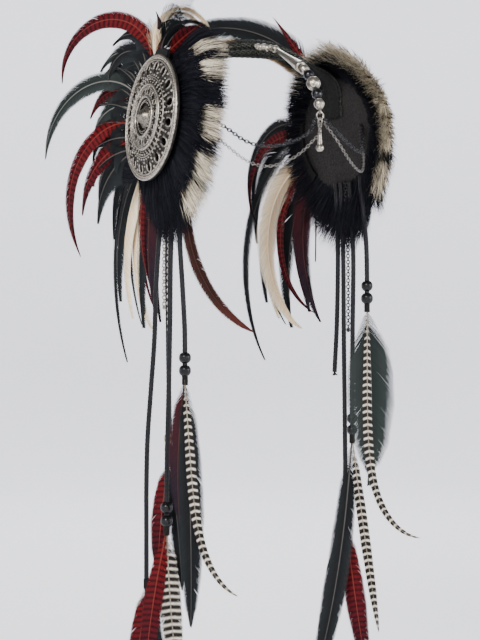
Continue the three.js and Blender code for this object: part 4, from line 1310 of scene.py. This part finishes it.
def add_loops(pool):
    """Rows of small loops on the band's face, tinted bright as painted highlights."""
    b = np.linspace(0, 2 * math.pi, 13)
    for middle in LOOP_ROWS:
        for centre in np.arange(4.5, BAND_RUN[-1] - 3, 4.5):
            loop = on_band(centre + 1.75 * np.cos(b), middle + 2.0 * np.sin(b), 0.75)
            add_tube(pool, loop, 0.34, 4, LOOP_HIGHLIGHT_TINT)


def add_scallops(pool):
    """Small scallops along both edges."""
    half = BAND_WIDTH / 2
    b = np.linspace(0, math.pi, 9)
    for centre in np.arange(3, BAND_RUN[-1] - 2, 5.2):
        for edge, way in ((-half + 0.6, -1), (half - 0.9, 1)):
            scallop = on_band(centre + 2.4 * np.cos(b), edge + way * 1.3 * np.sin(b), 0.1)
            add_tube(pool, scallop, 0.42, 4)


def add_net(pool, s):
    """The dark net under the threads."""
    low, high = -BAND_WIDTH / 2 + 1.4, BAND_WIDTH / 2 - 2
    corners = ((low, -0.45), (high, -0.45), (high, -0.85), (low, -0.85))
    edges = [on_band(s, across, rise) for across, rise in corners]
    pool.add(np.stack(edges, 1), grid_faces(len(s), 4)[:, ::-1], mark=1)


def make_band():
    pool = Pool()
    s = np.arange(0, BAND_RUN[-1], 0.9)
    add_threads(pool, s)
    add_loops(pool)
    add_scallops(pool)
    add_net(pool, s)
    pool.make("headband_lace", [LACE_THREAD, LACE_BASE], "band_lace", ["headband"])


make_band()


# Forehead string

STRING_START = np.array([0, -14.3, 0.6])
STRING_SLOPE = 27
STRING_TURN = 52
SMALL_BEAD = 8.2
LARGE_BEAD = 11
CAP_SIZE = 6
CAP_PLACE = 4.6
CONE_START = 7.9
CONE_LENGTH = 40
CONE_END = CONE_START + CONE_LENGTH
BEAD_RUN = 4 * SMALL_BEAD + LARGE_BEAD + 4 * GAP
STRING_END = CONE_END + BEAD_RUN + 2 * GAP
STRING_STEPS = 40
FURROW_DEPTH = 0.09
GROOVE_DEPTH = 0.3
WIRE_RADIUS = 0.5
BORE = 0.85


def string_direction(share):
    """The string's direction, from the band at 0 to its end at 1."""
    a = math.radians(STRING_SLOPE + STRING_TURN * share)
    return np.array([0, -math.cos(a), -math.sin(a)])


def string_place(distance):
    """A place on the string: straight as far as the cone's end, and on a curve from there."""
    place = STRING_START + string_direction(0) * min(distance, CONE_END)
    rest = max(0, distance - CONE_END)
    for i in range(STRING_STEPS):
        share = min(1, ((i + 0.5) / STRING_STEPS) * rest / BEAD_RUN)
        place = place + string_direction(share) * rest / STRING_STEPS
    return place


EYE_CENTRE = string_place(STRING_END) - UP * 1.65
UPPER_RING = EYE_CENTRE - UP * 3
LOWER_RING = UPPER_RING - UP * 4.3
DROP_LOOP = LOWER_RING - UP * 2.8
BAND_WAY = np.array([0, math.cos(BAND_TILT), math.sin(BAND_TILT)])
BAND_FACE = np.array([0, -math.sin(BAND_TILT), math.cos(BAND_TILT)])


# Lobes of the ornament: place across the crown, and radius
ORNAMENT_LOBES = [(-5.6, 2.5), (-2.9, 1.6), (0, 3.1), (2.9, 1.6), (5.6, 2.5)]
BOSS_PLACES = (-5.6, 0, 5.6)
BOSS_BEAD_RADIUS = 2.9


def make_ornament():
    """A lobed silver bar with three bosses, set on the band's face."""
    pool = Pool()
    base = BAND_FACE * (BAND_THICK + GAP)
    for x, radius in ORNAMENT_LOBES:
        add_ball(pool, base + [x, 0, 0] + BAND_FACE * 1.1, radius, 0.85, BAND_FACE, 16)
    for x in BOSS_PLACES:
        for a in around(8):
            way = BOSS_BEAD_RADIUS * math.sin(a)
            place = base + [x + BOSS_BEAD_RADIUS * math.cos(a), 0, 0] + BAND_WAY * way + BAND_FACE * 0.8
            add_ball(pool, place, 0.85, 0.9, BAND_FACE, 8)
    verts, faces = turned([(0.01, 0), (4.0, 0), (4.1, 0.6), (3.6, 1.1), (0.01, 1.1)], 24)
    for x in BOSS_PLACES:
        pool.add(stand_along(verts * [0.95, 0.95, 1], BAND_FACE, base + [x, 0, 0]), faces, (0.5, 0.49, 0.47))
    pool.make("crown_ornament_bosses", [SILVER], "antique_silver", ["crown_ornament"])


def make_wire():
    """The wire that carries the beads, from its head on the ornament to its eye."""
    pool = Pool()
    shares = (0, 0.02, 0.12, 0.3, 0.5, 0.62, 0.7, 0.78, 0.86, 0.94, 1)
    run = [string_place(STRING_END * share) for share in shares]
    anchor = -BAND_WAY * 4.54 + BAND_FACE * 3.3
    add_tube(pool, smooth_route([anchor, *run], 2), WIRE_RADIUS, 8)
    add_ball(pool, anchor, 1.1, 1, sides=12)
    add_ring(pool, 1.4, WIRE_RADIUS, EYE_CENTRE, (1, 0, 0), 20, 8)
    pool.make("forehead_wire_loop", [SILVER], "antique_silver", ["forehead_wire"])


def make_cap():
    """A small bead with a row of granules round it."""
    pool = Pool()
    add_turned(pool, bead_profile(CAP_SIZE, BORE), 24, string_place(CAP_PLACE), string_direction(0))
    for a in around(9):
        place = np.array([[2.75 * math.cos(a), 2.75 * math.sin(a), 0]])
        add_ball(pool, stand_along(place, string_direction(0), string_place(CAP_PLACE))[0], 0.6)
    pool.make("forehead_cap_granulated", [SILVER], "antique_silver", ["forehead_cap"])


def make_cone():
    pool = Pool()
    profile = [(BORE, 0), (1.6, 0), (1.8, 0.5), (2.2, CONE_LENGTH * 0.3), (3.3, CONE_LENGTH * 0.68),
               (4.2, CONE_LENGTH - 2.6), (4.5, CONE_LENGTH - 1.4), (4.1, CONE_LENGTH - 0.4),
               (3.4, CONE_LENGTH), (BORE, CONE_LENGTH), (BORE, 0)]
    add_turned(pool, profile, 32, string_place(CONE_START), string_direction(0))
    pool.make("forehead_cone_smooth", [SILVER], "antique_silver", ["forehead_cone"])


def furrows(verts):
    """Shares that draw a turned bead in along eight furrows, from end to end."""
    a = np.arctan2(verts[:, 1], verts[:, 0])
    return 1 - FURROW_DEPTH * np.abs(np.cos(4 * a)) ** 6


def make_string_beads():
    """Silver beads and dark ones with a groove, each with a fine rib near either end, and a large bead drawn
    in along eight furrows.
    """
    sizes = [SMALL_BEAD, SMALL_BEAD, LARGE_BEAD, SMALL_BEAD, SMALL_BEAD]
    edge = CONE_END + GAP
    for i, size in enumerate(sizes, 1):
        distance = edge + size / 2
        edge += size + GAP
        direction = string_place(distance + 0.5) - string_place(distance - 0.5)
        place = string_place(distance)
        is_silver = i % 2 == 1
        verts, faces = turned(bead_profile(size, BORE, 0.0 if is_silver else GROOVE_DEPTH), 64)
        if size == LARGE_BEAD:
            verts[:, :2] *= furrows(verts)[:, None]
        pool = Pool()
        pool.add(stand_along(verts, direction, place), faces)
        # A rib of wire near each end
        for way in (-1, 1):
            cap_at = np.array([[0, 0, way * size * 0.42]])
            centre = stand_along(cap_at, direction, place)[0]
            add_ring(pool, size * 0.26, 0.45, centre, direction, 24, 6, (1.05, 1.05, 1.05))
        material, slot = (SILVER, "antique_silver") if is_silver else (GUNMETAL, "gunmetal")
        pool.make(f"forehead_bead_{i}_turned", [material], slot, [f"forehead_bead_{i}"])


def make_jump_rings():
    rings = (("upper", UPPER_RING, 3, (0, 1, 0)), ("lower", LOWER_RING, 2.6, (1, 0, 0)))
    for name, centre, radius, normal in rings:
        pool = Pool()
        add_ring(pool, radius, 0.5, centre, normal, 28, 8)
        pool.make(f"jump_ring_{name}_wire", [SILVER], "antique_silver", [f"jump_ring_{name}"])


# Outline of the drop: radius, and share of its length
DROP_PROFILE = [(0.02, 1), (1.7, 0.985), (2.75, 0.93), (3.15, 0.85), (2.9, 0.78), (2.1, 0.73), (1.8, 0.68),
                (1.95, 0.62), (1.5, 0.45), (1.15, 0.2), (1.25, 0.05)]
DROP_LENGTH = 18.5


def make_forehead_drop():
    """A small turned drop under its loop."""
    pool = Pool()
    add_ring(pool, 1.5, 0.5, DROP_LOOP, (0, 1, 0), 22, 8)
    profile = [(radius, -DROP_LENGTH * share) for radius, share in DROP_PROFILE]
    add_turned(pool, [*profile, (0.9, 0.5), (0.02, 0.7)], 28, DROP_LOOP - UP * 1.5)
    pool.make("forehead_drop_turned", [SILVER], "antique_silver", ["forehead_drop"])


# Where the swags leave their rings
UPPER_SWAG_SLOPE = math.radians(35)
UPPER_SWAG_START = UPPER_RING + 4.6 * np.array([math.cos(UPPER_SWAG_SLOPE), 0, -math.sin(UPPER_SWAG_SLOPE)])
LOWER_SWAG_START = LOWER_RING + np.array([2.05, -2.08, -1.17])
SWAGS = [
    dict(name="upper", start=UPPER_SWAG_START, width=3.5, wire=0.9, pitch=2.9, material=GUNMETAL, points=[
        (11.5, -89.4, -73.4), (20.5, -87.8, -79.6), (30.7, -83.2, -84.1), (40.4, -76.4, -85.6),
        (47.6, -69.6, -84.4), (53.8, -61.6, -80.3), (60, -51.4, -72.4), (66.5, -41.5, -65),
        (72.6, -33, -60), (75.4, -27, -58)]),
    dict(name="lower", start=LOWER_SWAG_START, width=2.7, wire=0.62, pitch=2.3, material=DARK_STEEL, points=[
        (6, -91.6, -75.6), (12, -91.2, -82), (20.7, -88.4, -90.8), (30.8, -83.2, -97.5),
        (39.9, -76.8, -100.4), (47.6, -69.8, -99.3), (54, -62, -94.6), (60.5, -52.6, -86),
        (67, -42.6, -77), (74, -33, -69.5), (76.4, -28, -66.5)]),
]


def make_swags():
    for row in SWAGS:
        for side in ("left", "right"):
            pool = Pool()
            add_chain(pool, [row["start"], *row["points"]], row["width"], row["wire"], row["pitch"], 78, 20)
            if side == "right":
                pool.mirror()
            name = f"swag_{row['name']}_{side}"
            pool.make(f"{name}_links", [row["material"]], "gunmetal", [name])


make_ornament()
make_wire()
make_cap()
make_cone()
make_string_beads()
make_jump_rings()
make_forehead_drop()
make_swags()


# Studio

# In metres
FLOOR_LEVEL = -0.6
FLOOR_RADIUS = 2.4
SWEEP_RADIUS = 1.2
WALL_TOP = 1.9


def make_studio():
    """A pale floor that sweeps up to a wall all round."""
    profile = [(0, 0), (FLOOR_RADIUS, 0)]
    for a in np.linspace(0, math.pi / 2, 14)[1:]:
        profile.append((FLOOR_RADIUS + SWEEP_RADIUS * math.sin(a), SWEEP_RADIUS * (1 - math.cos(a))))
    profile.append((FLOOR_RADIUS + SWEEP_RADIUS, WALL_TOP))
    verts, faces = turned([(max(r, 0.001), z + FLOOR_LEVEL) for r, z in profile], 96)
    mesh = bpy.data.meshes.new("studio_floor")
    mesh.from_pydata(verts.tolist(), [], faces.tolist())
    mesh.polygons.foreach_set("use_smooth", [True] * len(mesh.polygons))
    material, tree, bsdf = shader("studio_paper", (0.86, 0.86, 0.9), 0.9)
    bsdf.inputs["Emission Color"].default_value = (0.93, 0.94, 1, 1)
    bsdf.inputs["Emission Strength"].default_value = 0.68
    clouds = noise(tree, scale=3, detail=2)
    vary(tree, bsdf, "Base Color", clouds, [(0.3, (0.85, 0.85, 0.89)), (0.7, (0.88, 0.88, 0.91))])
    mesh.materials.append(material)
    floor = bpy.data.objects.new("studio_floor", mesh)
    bpy.context.scene.collection.objects.link(floor)


def make_light(name, place, target, size, power, color=(1, 1, 1)):
    data = bpy.data.lights.new(name, "AREA")
    data.shape = "DISK"
    data.size = size
    data.energy = power
    data.color = color
    light = bpy.data.objects.new(name, data)
    light.location = place
    light.rotation_euler = (Vector(target) - Vector(place)).to_track_quat("-Z", "Y").to_euler()
    bpy.context.scene.collection.objects.link(light)


def make_lights():
    """A warm key from the camera's left, a cool fill from its right and one from behind."""
    target = (0, 0, -0.15)
    make_light("key", (-1.9, -1.5, 1.1), target, size=0.9, power=75, color=(1, 0.98, 0.95))
    make_light("fill", (1.5, -2.0, 0.3), target, size=1.2, power=42, color=(0.97, 0.98, 1))
    make_light("back", (0.9, 1.9, 1.2), target, size=1.2, power=36)
    world = bpy.data.worlds.new("studio_air")
    world.use_nodes = True
    background = world.node_tree.nodes["Background"]
    background.inputs["Color"].default_value = (0.93, 0.95, 1, 1)
    background.inputs["Strength"].default_value = 0.3
    bpy.context.scene.world = world


make_studio()
make_lights()
